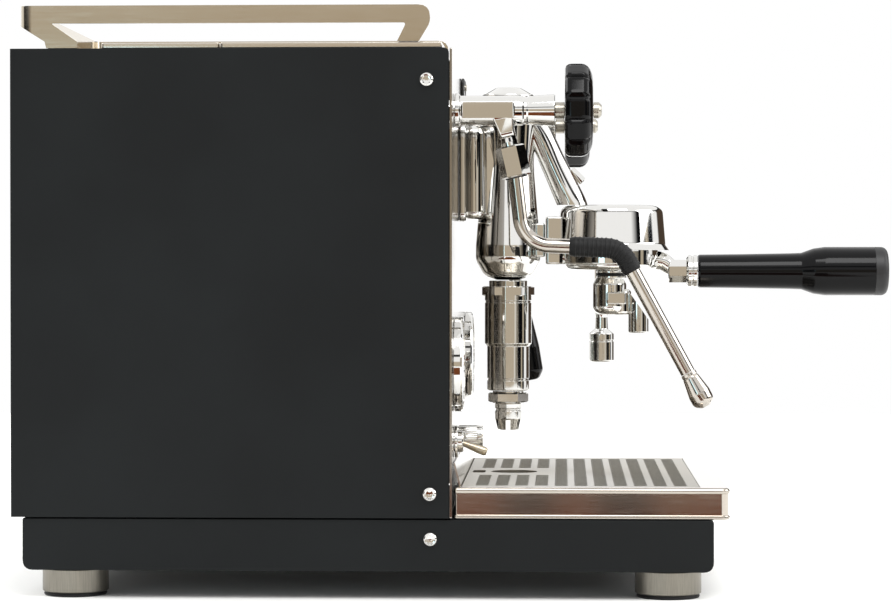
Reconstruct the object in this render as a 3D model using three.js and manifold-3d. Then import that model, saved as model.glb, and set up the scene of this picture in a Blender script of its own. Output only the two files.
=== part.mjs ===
// Home espresso machine with a lever-operated brew group, two rotary valves and a drip tray.
// Millimetres, +Z up. While it is built, Y = 0 is the outer face of the front panel, the front looks
// along -Y, X = 0 is the plane of symmetry and Z = 0 is the worktop. At the end the whole machine is
// shifted along Y so that the origin is the bottom centre of its bounding box.
import * as THREE from "three";
import { mergeVertices } from "three/addons/utils/BufferGeometryUtils.js";
import Module from "manifold-3d";

const wasm = await Module();
wasm.setup();

// ---------------------------------------------------------------- driving dimensions
const GAP = 0.3; // clearance left between pieces that touch
const SHEET = 1.5; // thickness of the casing's sheet metal

const BODY = { width: 300, depth: 291.6, floor: 54, top: 363 }; // depth: front panel's face to the back
const SIDE = { front: 2, corner: 4, flange: 12 }; // side panels start just behind the front panel
const BASE = {
  width: BODY.width - 4,
  front: -171.6,
  back: BODY.depth - 7.3,
  bottom: 18.9,
  top: BODY.floor - 1,
  corner: 7,
  sheet: 1.6,
};
const FOOT = { radius: 22, studRadius: 4, studLength: 11, insetX: 27, insetFront: 29, insetBack: 30.8 };
const SCREW = { headRadius: 4.75, headHeight: 2.75, shankRadius: 2, shankLength: 7, socket: 1.6 };
const SCREW_PLACES = { high: [16.7, BODY.top - 21], low: [14.7, BODY.floor + 16] }; // [Y, Z] on each side

const LID = { width: BODY.width - 8, length: 78, back: BODY.depth - 60, gap: 1 };
const COVER = { width: BODY.width - 6, front: 6.6, back: LID.back - LID.length - LID.gap, height: 3.7 };
const WARMER_SLOT = { columns: 3, pitch: 88, length: 74, width: 5 };
const RAIL = {
  sheet: 2,
  height: 28.2,
  band: 11.8,
  front: 14.4,
  back: BODY.depth - 6,
  endRadius: 8,
  corner: 9,
};
const RAIL_LEG = { width: 14.4, lean: 7.2, backFoot: RAIL.back - 18, tab: 20.5, tabHeight: 4.2, fold: 16 };

const TRAY = { width: BODY.width - 5, length: 182.3, height: 20.9, wall: 1.2, corner: 6, ledge: 3 };
const TRAY_RIM = { side: 6.5, front: 19.1, back: 4 };
const TRAY_LIFT = 0.4; // clearance between the tray and the deck that it slides on
const GRATE = { thickness: 2, fit: 0.5, pitch: 13.15, first: 8.6, slot: 8.8, sideRim: 9 };
const GRATE_SPLIT = { rows: 4, halfGap: 32 };
const GRATE_MOUTH = { halfWidth: 14, length: 32.5, first: 7.4, notchHalfWidth: 12, notchLength: 9 }; // under the nozzle
const SPLASH = { height: 15, lean: 4.2, thickness: 1.2, inset: 12.5 };

const GROUP = { y: -34, top: 346, shoulder: 331, cupZ: 210, bodyRadius: 20, cupRadius: 23 };
const GROUP_FLANGE = { halfWidth: 27, bottom: 251, top: 319.5, thickness: 18, corner: 6 };
const BASKET = { radius: 29, lip: 3, wall: 0.8, depth: 19, rim: 1 };
const PORTAFILTER = { top: 240, bottom: 217, bore: BASKET.radius + 1, wall: 3, floor: 3, outlet: 5 };
const BAYONET = { ear: 5, earReach: 4, fit: 0.5, ledge: 3, halfWidth: 16, earHalfWidth: 11 };
const BELL_WALL = 2.9;
const BELL_STANDOFF = 11.5; // from the bell to the group's barrel
const portafilterRadius = PORTAFILTER.bore + PORTAFILTER.wall;
const bellBore = portafilterRadius + 2.6;
const bellRadius = bellBore + BELL_WALL;
const BELL = {
  y: GROUP.y - GROUP.cupRadius - BELL_STANDOFF - bellRadius,
  bottom: 231,
  top: 262.5,
  skirt: 10,
};
const SKIRT_WALL = 4.4;
const NECK = { radius: 8.6, topY: GROUP.y - 13, topZ: GROUP.shoulder, footY: BELL.y + bellRadius - 11.5 };
const GASKET = { inner: BASKET.radius - 2.5, height: 7.4 };
const HANDLE = { z: 216.2, neck: 27.8, length: 133, thin: 11.7, waist: 12.6, thick: 17.1 };
const SPOUT = { radius: 11, neck: 6.2, bore: 7, wall: 2.2 };
const CHAMBER = {
  top: GROUP.cupZ - 0.4,
  radius: 16.6,
  lowerRadius: 14.9,
  step: 163.6,
  bottom: 131.9,
  hexRadius: 18.6,
};
const DRAIN = { gap: 1.6, hexRadius: 14.2, hexHeight: 6.8, bottom: 104, radius: 9.4, tipRadius: 7.4 };
const LEVER = { z: 238, shaftRadius: 6, x: 58, armRadius: 4.5, gripStart: 36, length: 102, lean: 8 };

const VALVE = { x: BODY.width / 2 - 45, z: 324, radius: 10, length: 67.3, boreDepth: 14, thread: 7 };
const OUTLET = {
  y: -31.6,
  tilt: 12.5,
  radius: 6,
  stem: 30,
  nutStart: 24.2,
  nutLength: 21.2,
  nutWall: 1.15,
  nutTurn: 20,
};
const WAND = { radius: 5, gripWall: 1.9, tip: 7.7, tipLength: 25.5 };
const BALL = { radius: WAND.radius + 2, at: 38, fit: 0.6 };
const SPINDLE = { radius: 4, collar: 5.6, nut: 5.4, nutLength: 5.5, shoulder: 1 };
const KNOB = { radius: 32, thickness: 18.8, back: -74, lobes: 12, scallop: 2.6, dome: 5, hub: 9 };
const NOZZLE = { radius: 9.4, length: 22, neck: 4.6 };

const GAUGE = { x: BODY.width / 2 - 47, z: 154, radius: 32, proud: 6, bodyRadius: 28.5, bodyDepth: 24 };
const DIAL = { radius: 28.5, depth: 4.4, zero: 135, pivot: 1.2 };
const PID = {
  x: 40,
  z: BODY.top - 18,
  width: 44,
  height: 18,
  proud: 1.6,
  depth: 20,
  corner: 4,
  button: 2.6,
};
const TOGGLE = {
  x: BODY.width / 2 - 45,
  z: 102,
  bezel: 10.8,
  bezelDepth: 6,
  radius: 2.2,
  length: 21,
  droop: 20,
};
const SELECTOR = { x: 62, z: 103, radius: 7.6, length: 18, stem: 3 };
const INLET = { x: 60, z: 92, width: 48, height: 28, depth: 22, flange: 4, proud: 3 };
const VENT = { columns: 9, pitch: 16, width: 5, height: 46, bottom: 250, drop: 74 };

const TANK = {
  width: BODY.width - 80,
  front: COVER.back + 8,
  back: LID.back - 7,
  bottom: 84,
  top: BODY.top - 11,
  wall: 3,
  corner: 10,
};
const BOILER = { radius: 52, length: 190, wall: 1.6, gap: 21, z: 215, port: 8 };
const PUMP = { radius: 30, length: 96, gap: 32, z: 92, headRadius: 21, headLength: 34 };

// ---------------------------------------------------------------- finishes
const finish = (color, roughness, metalness) =>
  new THREE.MeshStandardMaterial({ color, roughness, metalness });
const MATTE_BLACK = finish(0x242526, 0.62, 0.0);
const POLISHED_STEEL = finish(0xb9b1a6, 0.12, 1.0);
const BRUSHED_STEEL = finish(0xa39f95, 0.35, 1.0);
const CHROME = finish(0xd6d6d6, 0.06, 1.0);
const GLOSS_BLACK = finish(0x0c0c0d, 0.12, 0.0);
const RUBBER = finish(0x1d1d1e, 0.75, 0.0);
const GLASS = finish(0xe8f0f2, 0.03, 0.0);
const COPPER = finish(0xb87a50, 0.3, 1.0);
const TANK_PLASTIC = finish(0xc9d2d6, 0.4, 0.0);

// ---------------------------------------------------------------- solids
const AXIS = {
  x: new THREE.Vector3(1, 0, 0),
  y: new THREE.Vector3(0, 1, 0),
  z: new THREE.Vector3(0, 0, 1),
};

// A closed geometry as a solid that can be joined and cut.
function solid(geometry) {
  const bare = geometry.index ? geometry.toNonIndexed() : geometry.clone();
  bare.deleteAttribute("normal");
  bare.deleteAttribute("uv");
  const merged = mergeVertices(bare, 1e-4);
  const vertProperties = merged.attributes.position.array;
  const mesh = { numProp: 3, vertProperties, triVerts: merged.index.array };
  return new wasm.Manifold(new wasm.Mesh(mesh));
}

// A solid as a geometry for a mesh.
function geometryOf(made) {
  const { vertProperties, triVerts, numProp, numVert } = made.getMesh();
  const positions = new Float32Array(numVert * 3);
  for (let i = 0; i < numVert; i++) {
    positions.set(vertProperties.subarray(i * numProp, i * numProp + 3), i * 3);
  }
  const geometry = new THREE.BufferGeometry();
  geometry.setAttribute("position", new THREE.BufferAttribute(positions, 3));
  geometry.setIndex(new THREE.BufferAttribute(triVerts, 1));
  geometry.computeVertexNormals();
  return geometry;
}

const joined = (...solids) => solids.reduce((a, b) => a.add(b));
const cut = (from, ...solids) => solids.reduce((a, b) => a.subtract(b), from);

// Adds a named piece to a group, from a solid or from a geometry.
function piece(parent, name, shape, material, at = [0, 0, 0]) {
  const geometry = shape.isBufferGeometry ? shape : geometryOf(shape);
  const mesh = new THREE.Mesh(geometry, material);
  mesh.name = name;
  mesh.position.set(...at);
  parent.add(mesh);
  return mesh;
}

// A turned solid: [radius, height] pairs that start and end on the axis, or close on themselves, from
// the top down the outside. The axis is +Z.
function turned(profile, sides = 24) {
  const points = profile.map(([r, h]) => new THREE.Vector2(r, h)).reverse();
  return solid(new THREE.LatheGeometry(points, sides).rotateX(Math.PI / 2));
}

// A turned solid whose heights are distances forward, so its axis is -Y.
const turnedForward = (profile, sides) => turned(profile, sides).rotate([90, 0, 0]);

// A prism with a number of sides, from one height to another, about +Z. The radius is to its corners.
function prism(sides, radius, from, to, turn = 0) {
  const made = new THREE.CylinderGeometry(radius, radius, to - from, sides);
  return solid(made.rotateX(Math.PI / 2).rotateZ(turn).translate(0, 0, (from + to) / 2));
}

function box(x0, x1, y0, y1, z0, z1) {
  const made = new THREE.BoxGeometry(x1 - x0, y1 - y0, z1 - z0);
  return solid(made.translate((x0 + x1) / 2, (y0 + y1) / 2, (z0 + z1) / 2));
}

// An outline with straight sides and a radius at each corner: [x, y, radius] for each corner, in turn.
function outline(corners) {
  const shape = new THREE.Shape();
  corners.forEach(([x, y, r], i) => {
    const [px, py] = corners[(i + corners.length - 1) % corners.length];
    const [nx, ny] = corners[(i + 1) % corners.length];
    const back = new THREE.Vector2(px - x, py - y).normalize();
    const on = new THREE.Vector2(nx - x, ny - y).normalize();
    const start = [x + back.x * r, y + back.y * r];
    if (i === 0) shape.moveTo(...start);
    else shape.lineTo(...start);
    if (r > 0) shape.quadraticCurveTo(x, y, x + on.x * r, y + on.y * r);
  });
  shape.closePath();
  return shape;
}

const rectangle = (x0, x1, y0, y1, r = 0) =>
  outline([
    [x0, y0, r],
    [x1, y0, r],
    [x1, y1, r],
    [x0, y1, r],
  ]);

// A round hole whose flats, not its corners, are at the radius.
function circle(x, y, r, sides = 16) {
  const corner = r / Math.cos(Math.PI / sides);
  const path = new THREE.Path();
  for (let i = 0; i < sides; i++) {
    const angle = (-2 * Math.PI * i) / sides;
    path[i ? "lineTo" : "moveTo"](x + corner * Math.cos(angle), y + corner * Math.sin(angle));
  }
  path.closePath();
  return path;
}

function withHoles(shape, ...holes) {
  shape.holes.push(...holes);
  return shape;
}

// Plates: an outline with a thickness. Flat lies in XY and rises; frontal has its outline in XZ and
// runs back along +Y; lateral has its outline in YZ and runs along +X.
const plateOf = (shape, thickness, rounding = 5) =>
  new THREE.ExtrudeGeometry(shape, { depth: thickness, bevelEnabled: false, curveSegments: rounding });
const flat = (shape, thickness, rounding) => solid(plateOf(shape, thickness, rounding));
function frontal(shape, thickness, rounding) {
  const basis = new THREE.Matrix4().makeBasis(AXIS.x, AXIS.z, AXIS.y.clone().negate());
  return solid(plateOf(shape, thickness, rounding).applyMatrix4(basis).translate(0, thickness, 0));
}
function lateral(shape, thickness, rounding) {
  const basis = new THREE.Matrix4().makeBasis(AXIS.y, AXIS.z, AXIS.x);
  return solid(plateOf(shape, thickness, rounding).applyMatrix4(basis));
}

// A round bar along a smooth curve through [x, y, z] points.
function bar(points, radius, steps, sides = 12) {
  const section = new THREE.Shape();
  for (let i = 0; i < sides; i++) {
    const angle = (2 * Math.PI * i) / sides;
    section[i ? "lineTo" : "moveTo"](radius * Math.cos(angle), radius * Math.sin(angle));
  }
  const knots = points.map((p) => new THREE.Vector3(...p));
  const curve = new THREE.CatmullRomCurve3(knots, false, "centripetal");
  return solid(new THREE.ExtrudeGeometry(section, { steps, extrudePath: curve, bevelEnabled: false }));
}

const mirrored = (made) => made.mirror([1, 0, 0]);
const SIDES = [
  ["left", -1],
  ["right", 1],
];

const machine = new THREE.Group();

// ---------------------------------------------------------------- base, feet and casing
function addBase() {
  const { width, front, back, bottom, top, corner, sheet } = BASE;
  const profile = outline([
    [front, bottom, corner],
    [back, bottom, corner],
    [back, top, 0],
    [front, top, 2],
  ]);
  const shell = lateral(profile, width).translate([-width / 2, 0, 0]);
  const inside = width / 2 - sheet;
  const under = box(-inside, inside, front + sheet, back - sheet, bottom + sheet, top - sheet);
  const open = box(-inside, inside, SIDE.front + sheet, back - sheet, bottom + sheet, top + sheet);
  const studs = footPlaces().map(([, x, y]) =>
    prism(16, FOOT.studRadius + GAP, bottom - sheet, bottom + 2 * sheet).translate([x, y, 0]),
  );
  piece(machine, "base_frame", cut(shell, under, open, ...studs), MATTE_BLACK);
}

function footPlaces() {
  const x = BASE.width / 2 - FOOT.insetX;
  const rows = [
    ["front", BASE.front + FOOT.insetFront],
    ["rear", BASE.back - FOOT.insetBack],
  ];
  return rows.flatMap(([row, y]) => SIDES.map(([side, sign]) => [`foot_${row}_${side}`, sign * x, y]));
}

function addFeet() {
  const { radius, studRadius, studLength } = FOOT;
  const top = BASE.bottom - GAP;
  const profile = [
    [0, top + studLength],
    [studRadius, top + studLength],
    [studRadius, top],
    [radius, top],
    [radius, 0],
    [0, 0],
  ];
  for (const [name, x, y] of footPlaces()) {
    piece(machine, name, turned(profile, 20), BRUSHED_STEEL, [x, y, 0]);
  }
}

function addSidePanels() {
  const corners = [
    [SIDE.front, BODY.floor, 1],
    [BODY.depth, BODY.floor, 0],
    [BODY.depth, BODY.top, 0],
    [SIDE.front, BODY.top, SIDE.corner],
  ];
  for (const [side, sign] of SIDES) {
    const holes = Object.values(SCREW_PLACES).map(([y, z]) => circle(y, z, SCREW.shankRadius + GAP, 10));
    const panel = lateral(withHoles(outline(corners), ...holes), SHEET);
    const flange = box(0, SIDE.flange, SIDE.front + SIDE.corner, LID.back, BODY.top - SHEET, BODY.top);
    const x = sign > 0 ? BODY.width / 2 - SHEET : -BODY.width / 2;
    const folded = joined(panel, flange.translate([sign > 0 ? SHEET - SIDE.flange : 0, 0, 0]));
    piece(machine, `${side}_side_panel`, folded, MATTE_BLACK, [x, 0, 0]);
  }
}

// Button-head screws with a hexagonal socket, head outwards.
function addPanelScrews() {
  const { headRadius, headHeight, shankRadius, shankLength, socket } = SCREW;
  const head = turned(
    [
      [0, headHeight],
      [headRadius * 0.7, headHeight * 0.85],
      [headRadius, 0],
      [shankRadius, 0],
      [shankRadius, -shankLength],
      [0, -shankLength],
    ],
    12,
  );
  const screw = cut(head, prism(6, socket, headHeight * 0.4, headHeight * 2));
  for (const [side, sign] of SIDES) {
    for (const [place, [y, z]] of Object.entries(SCREW_PLACES)) {
      const shape = screw.rotate([0, sign * 90, 0]);
      const x = sign * (BODY.width / 2 + GAP);
      piece(machine, `${side}_panel_screw_${place}`, shape, CHROME, [x, y, z]);
    }
  }
}

function addFrontPanel() {
  const half = BODY.width / 2;
  const holes = [];
  for (const [, sign] of SIDES) {
    holes.push(circle(sign * VALVE.x, VALVE.z, VALVE.thread + GAP));
    holes.push(circle(sign * GAUGE.x, GAUGE.z, GAUGE.bodyRadius + GAP));
  }
  holes.push(circle(-TOGGLE.x, TOGGLE.z, TOGGLE.bezel * 0.6 + GAP));
  holes.push(circle(-SELECTOR.x, SELECTOR.z, SELECTOR.stem + GAP));
  const edge = PID.corner + GAP;
  holes.push(
    rectangle(
      PID.x - PID.width / 2 + edge,
      PID.x + PID.width / 2 - edge,
      PID.z - PID.height / 2 + edge / 2,
      PID.z + PID.height / 2 - edge / 2,
    ),
  );
  const shape = withHoles(rectangle(-half, half, BODY.floor, BODY.top - GAP, 1), ...holes);
  piece(machine, "front_panel", frontal(shape, SHEET, 8), POLISHED_STEEL);
}

// The back, folded forward at the top as a narrow deck behind the lid.
function addRearPanel() {
  const half = BODY.width / 2 - SHEET - GAP;
  const vents = [];
  for (let column = 0; column < VENT.columns; column++) {
    const x = (column - (VENT.columns - 1) / 2) * VENT.pitch;
    for (const z of [VENT.bottom, VENT.bottom - VENT.drop]) {
      const [x0, x1] = [x - VENT.width / 2, x + VENT.width / 2];
      vents.push(box(x0, x1, BODY.depth - 10, BODY.depth + 10, z, z + VENT.height));
    }
  }
  const inlet = rectangle(
    INLET.x - INLET.width / 2 - GAP,
    INLET.x + INLET.width / 2 + GAP,
    INLET.z - INLET.height / 2 - GAP,
    INLET.z + INLET.height / 2 + GAP,
  );
  const back = withHoles(rectangle(-half, half, BODY.floor, BODY.top), inlet);
  const standing = frontal(back, SHEET, 2).translate([0, BODY.depth - SHEET, 0]);
  const deck = box(-half, half, LID.back + LID.gap, BODY.depth - SHEET / 2, BODY.top - SHEET, BODY.top);
  piece(machine, "rear_panel", cut(joined(standing, deck), ...vents), MATTE_BLACK);
}

// Mains inlet: a socket for a detachable lead.
function addPowerInlet() {
  const { x, z, width, height, depth, flange, proud } = INLET;
  const wide = width / 2 + flange;
  const tall = height / 2 + flange;
  const face = box(x - wide, x + wide, BODY.depth + GAP, BODY.depth + proud, z - tall, z + tall);
  const housing = box(
    x - width / 2,
    x + width / 2,
    BODY.depth - depth,
    BODY.depth + proud / 2,
    z - height / 2,
    z + height / 2,
  );
  const mouth = outline([
    [x - width * 0.36, z - height * 0.32, 1],
    [x + width * 0.36, z - height * 0.32, 1],
    [x + width * 0.36, z + height * 0.12, 1],
    [x + width * 0.24, z + height * 0.34, 1],
    [x - width * 0.24, z + height * 0.34, 1],
    [x - width * 0.36, z + height * 0.12, 1],
  ]);
  const pocket = frontal(mouth, depth + 1, 2).translate([0, BODY.depth - depth + 3, 0]);
  const pins = [-12, 0, 12].map((offset, i) => {
    const [pinX, foot] = [x + offset, z - 4 + 3 * (i % 2)];
    return box(pinX - 1.2, pinX + 1.2, BODY.depth - depth + 2, BODY.depth - 4, foot, foot + 5);
  });
  piece(machine, "power_inlet", joined(cut(joined(face, housing), pocket), ...pins), GLOSS_BLACK);
}

// ---------------------------------------------------------------- top: cup warmer, lid and rail
// A shallow sheet-metal lid with folded edges, standing on the flanges of the side panels.
function foldedLid(width, front, back, corner) {
  const half = width / 2;
  const z0 = BODY.top + GAP;
  const shell = flat(rectangle(-half, half, front, back, corner), COVER.height);
  const under = box(-half + SHEET, half - SHEET, front + SHEET, back - SHEET, -1, COVER.height - SHEET);
  return cut(shell, under).translate([0, 0, z0]);
}

function warmerSlots(front, back, rows) {
  const { columns, pitch, length, width } = WARMER_SLOT;
  const slots = [];
  for (let row = 0; row < rows; row++) {
    const y = front + ((back - front) * (row + 0.5)) / rows;
    for (let column = 0; column < columns; column++) {
      const x = (column - (columns - 1) / 2) * pitch;
      const [x0, x1] = [x - length / 2, x + length / 2];
      slots.push(box(x0, x1, y - width / 2, y + width / 2, BODY.top, BODY.top + 2 * COVER.height));
    }
  }
  return slots;
}

function addTop() {
  const cover = foldedLid(COVER.width, COVER.front, COVER.back, 1);
  const slots = warmerSlots(COVER.front + 12, COVER.back - 8, 5);
  piece(machine, "top_cover", cut(cover, ...slots), POLISHED_STEEL);
  const lid = foldedLid(LID.width, COVER.back + LID.gap, LID.back, 1);
  const holes = warmerSlots(COVER.back + 10, LID.back - 8, 3);
  piece(machine, "tank_lid", cut(lid, ...holes), POLISHED_STEEL);
}

// A flat bar bent round both sides and the back, cut at each side to leave two leaning legs, each on a
// tab that is folded inwards.
function addCupRail() {
  const { sheet, height, band, front, back, endRadius, corner } = RAIL;
  const { width, lean, backFoot, tab, tabHeight, fold } = RAIL_LEG;
  const half = BODY.width / 2;
  const foot = BODY.top + COVER.height + 2 * GAP; // the front legs stand on the cover
  const deckFoot = BODY.top + GAP; // the rear legs stand on the lower deck
  const top = BODY.top + height;
  const bandFoot = top - band;
  const bend = (inset, r) =>
    outline([
      [-half + inset, inset, 0],
      [half - inset, inset, 0],
      [half - inset, back - inset, r],
      [-half + inset, back - inset, r],
    ]);
  const ring = cut(flat(bend(0, corner), 2 * height, 6), flat(bend(sheet, corner - sheet), 2 * height, 6));
  const side = outline([
    [front + lean, foot, 0],
    [front + lean + width, foot, 0],
    [front + width + 1.2, bandFoot, 2.5],
    [backFoot - 3.5, bandFoot, 1],
    [backFoot - tab, deckFoot + tabHeight, 0],
    [backFoot - tab, deckFoot, 0],
    [backFoot, deckFoot, 0],
    [backFoot + 1, deckFoot + tabHeight, 0],
    [back + 2, bandFoot, 0],
    [back + 2, top, 0],
    [front, top, endRadius],
    [front, top - endRadius * 1.5, 3],
  ]);
  const form = lateral(side, 2 * half + 2, 4).translate([-half - 1, 0, 0]);
  const tabs = SIDES.flatMap(([, sign]) => {
    const [x0, x1] = [sign * half, sign * (half - fold)].sort((a, b) => a - b);
    return [
      box(x0, x1, front + lean + 0.6, front + lean + width - 0.6, foot, foot + 1.5),
      box(x0, x1, backFoot - tab + 0.6, backFoot - 0.6, deckFoot, deckFoot + 1.5),
    ];
  });
  const bentBar = ring.translate([0, 0, deckFoot - 1]).intersect(form);
  piece(machine, "cup_rail", joined(bentBar, ...tabs), POLISHED_STEEL);
}

// ---------------------------------------------------------------- drip tray
function addDripTray() {
  const { width, length, height, wall, corner } = TRAY;
  const half = width / 2;
  const bottom = BASE.top + TRAY_LIFT;
  const back = -GAP - SPLASH.thickness;
  const plan = (inset, r) =>
    outline([
      [-half + inset, back - inset, 0],
      [-half + inset, -length + inset, r],
      [half - inset, -length + inset, r],
      [half - inset, back - inset, 0],
    ]);
  const shell = flat(plan(0, corner), height, 6);
  const shelf = height - GRATE.thickness - GAP; // the grate stands on a ledge at this height
  const hollow = flat(plan(wall, corner - wall), shelf - 2 * wall, 6).translate([0, 0, wall]);
  const opening = (inset, from) =>
    box(
      -half + TRAY_RIM.side + inset,
      half - TRAY_RIM.side - inset,
      -length + TRAY_RIM.front + inset,
      back - TRAY_RIM.back - inset,
      from,
      height * 2,
    );
  const tub = cut(shell, hollow, opening(TRAY.ledge, wall), opening(0, shelf)).translate([0, 0, bottom]);
  const top = bottom + height;
  const lip = outline([
    [back - SPLASH.lean, top - 1.5, 0],
    [back - SPLASH.lean + SPLASH.thickness, top - 1.5, 0],
    [back + SPLASH.thickness, top + SPLASH.height, 0],
    [back, top + SPLASH.height, 0],
  ]);
  const splash = lateral(lip, TRAY.width - 2 * SPLASH.inset).translate([-half + SPLASH.inset, 0, 0]);
  piece(machine, "drip_tray", joined(tub, splash), POLISHED_STEEL);
}

function addDripGrate() {
  const { thickness, fit, pitch, first, slot, sideRim } = GRATE;
  const half = TRAY.width / 2 - TRAY_RIM.side - fit;
  const front = -TRAY.length + TRAY_RIM.front + fit;
  const back = -GAP - SPLASH.thickness - TRAY_RIM.back - fit;
  const reach = half - sideRim;
  const holes = [];
  for (let row = 0; back - first - row * pitch - slot > front + 3; row++) {
    const y = back - first - row * pitch;
    const split = [
      [-reach, -GRATE_SPLIT.halfGap],
      [GRATE_SPLIT.halfGap, reach],
    ];
    const spans = row < GRATE_SPLIT.rows ? split : [[-reach, reach]];
    for (const [x0, x1] of spans) holes.push(box(x0, x1, y - slot, y, -1, thickness + 1));
  }
  const mouth = back - first - GRATE_MOUTH.first;
  const notch = mouth + 4;
  holes.push(
    box(-GRATE_MOUTH.halfWidth, GRATE_MOUTH.halfWidth, mouth - GRATE_MOUTH.length, mouth, -1, thickness + 1),
    box(-GRATE_MOUTH.notchHalfWidth, GRATE_MOUTH.notchHalfWidth, notch, notch + GRATE_MOUTH.notchLength, -1, thickness + 1),
  );
  const plate = cut(box(-half, half, front, back, 0, thickness), ...holes);
  const top = BASE.top + TRAY_LIFT + TRAY.height;
  piece(machine, "drip_grate", plate, BRUSHED_STEEL, [0, 0, top - thickness]);
}

// ---------------------------------------------------------------- brew group
// The main casting: flange, upright barrel with a rounded cup, cross bore for the lever, and the neck.
function addGroupBody() {
  const { y, cupZ, bodyRadius, cupRadius } = GROUP;
  const { halfWidth, bottom, top, thickness, corner } = GROUP_FLANGE;
  const flange = frontal(rectangle(-halfWidth, halfWidth, bottom, top, corner), thickness);
  const barrel = turned(
    [
      [0, GROUP.shoulder],
      [bodyRadius + 1, GROUP.shoulder],
      [bodyRadius + 1, 323],
      [bodyRadius, 320],
      [bodyRadius, 272],
      [cupRadius, 258],
      [cupRadius, 224],
      [cupRadius * 0.93, 217],
      [cupRadius * 0.72, 212],
      [cupRadius * 0.5, cupZ],
      [0, cupZ],
    ],
    24,
  ).translate([0, y, 0]);
  const saddle = box(-15, 15, y, -thickness - GAP + 1, bottom + 4, top - 4);
  const cross = turned(
    [
      [0, 40],
      [12, 40],
      [13, 38],
      [13, 20],
      [15, 16],
      [15, -16],
      [13, -19],
      [0, -19],
    ],
    18,
  )
    .rotate([0, 90, 0])
    .translate([0, y, LEVER.z]);
  const shaftHole = prism(16, LEVER.shaftRadius + GAP, 10, 60)
    .rotate([0, 90, 0])
    .translate([0, y, LEVER.z]);
  const neck = bar(
    [
      [0, NECK.topY + 5, NECK.topZ - 4],
      [0, NECK.topY - 5, NECK.topZ - 11],
      [0, (NECK.topY + NECK.footY) / 2 - 2, (NECK.topZ + BELL.top) / 2],
      [0, NECK.footY, BELL.top + GAP],
    ],
    NECK.radius,
    8,
    12,
  );
  const floorCut = box(-60, 60, BELL.y - 60, NECK.footY + 30, BELL.top - 40, BELL.top + GAP);
  const web = box(-13, 13, BELL.y + bellRadius + 8 + GAP, y - cupRadius + 4, 226, 250);
  const over = box(-60, 60, y - 60, y + 60, GROUP.shoulder, GROUP.shoulder + 40);
  const standing = flange.translate([0, -thickness - GAP, 0]);
  const main = joined(standing, barrel, saddle, cross, cut(neck, floorCut), web);
  piece(machine, "group_body", cut(main, shaftHole, over), CHROME);
}

// The bell that takes the portafilter: a hollow cup, a rear skirt, and two ledges for the bayonet.
function addGroupBell() {
  const { y, bottom, top, skirt } = BELL;
  const [bore, radius] = [bellBore, bellRadius];
  const ringBore = portafilterRadius + BAYONET.earReach + BAYONET.fit;
  const ledgeBore = portafilterRadius + BAYONET.fit;
  const skirtRadius = ringBore + SKIRT_WALL;
  const roof = gasketTop() + GAP;
  const cup = turned(
    [
      [0, top],
      [radius - 7, top],
      [radius - 1.5, top - 5],
      [radius, top - 8],
      [radius, bottom],
      [bore, bottom],
      [bore, roof],
      [0, roof],
    ],
    32,
  );
  const ring = turned(
    [
      [ringBore, bottom + 0.01],
      [skirtRadius - 1.5, bottom + 0.01],
      [skirtRadius, bottom - 2],
      [skirtRadius, bottom - skirt],
      [ringBore, bottom - skirt],
      [ringBore, bottom + 0.01],
    ],
    32,
  );
  const shoulder = turned(
    [
      [bore, bottom + 3],
      [radius, bottom + 3],
      [skirtRadius - 1.5, bottom],
      [bore, bottom],
      [bore, bottom + 3],
    ],
    32,
  );
  const frontCut = box(-60, 60, -60, -BAYONET.halfWidth - 2, bottom - skirt - 1, bottom);
  const ledge = turned(
    [
      [ledgeBore, bottom - skirt + BAYONET.ledge],
      [ringBore + 1, bottom - skirt + BAYONET.ledge],
      [ringBore + 1, bottom - skirt],
      [ledgeBore, bottom - skirt],
      [ledgeBore, bottom - skirt + BAYONET.ledge],
    ],
    32,
  );
  const reach = box(-60, 60, -BAYONET.halfWidth, BAYONET.halfWidth, bottom - skirt - 1, bottom);
  const web = cut(
    box(-20, 20, radius - 4, radius + 8, bottom - skirt, top - 8),
    prism(32, ringBore + 0.5, bottom - skirt - 1, roof),
  );
  const bell = joined(cup, shoulder, cut(ring, frontCut), ledge.intersect(reach), web);
  piece(machine, "group_bell", bell, CHROME, [0, y, 0]);
}

const gasketBottom = () => PORTAFILTER.top + BASKET.rim + 2 * GAP;
const gasketTop = () => gasketBottom() + GASKET.height;

function addGasketAndScreen() {
  const outer = bellBore - GAP;
  const ring = turned(
    [
      [GASKET.inner, gasketTop()],
      [outer, gasketTop()],
      [outer, gasketBottom()],
      [GASKET.inner, gasketBottom()],
      [GASKET.inner, gasketTop()],
    ],
    32,
  );
  piece(machine, "group_gasket", ring, RUBBER, [0, BELL.y, 0]);
  const screenRadius = GASKET.inner - GAP;
  const screen = turned(
    [
      [0, gasketTop()],
      [screenRadius - 4, gasketTop()],
      [screenRadius, gasketTop() - 3],
      [screenRadius, gasketBottom() + 1],
      [screenRadius - 2, gasketBottom()],
      [0, gasketBottom()],
    ],
    32,
  );
  piece(machine, "shower_screen", screen, CHROME, [0, BELL.y, 0]);
}

// The domed hexagonal cap on top of the barrel.
function addGroupCap() {
  const foot = GROUP.shoulder + GAP;
  const hex = prism(6, GROUP.bodyRadius + 1, foot, foot + 8, Math.PI / 6);
  const dome = turned(
    [
      [0, GROUP.top],
      [5, GROUP.top - 0.6],
      [12, GROUP.top - 3.4],
      [GROUP.bodyRadius - 2.5, foot + 8],
      [GROUP.bodyRadius - 2.5, foot + 4],
      [0, foot + 4],
    ],
    28,
  );
  piece(machine, "group_cap", joined(hex, dome), CHROME, [0, GROUP.y, 0]);
}

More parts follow.
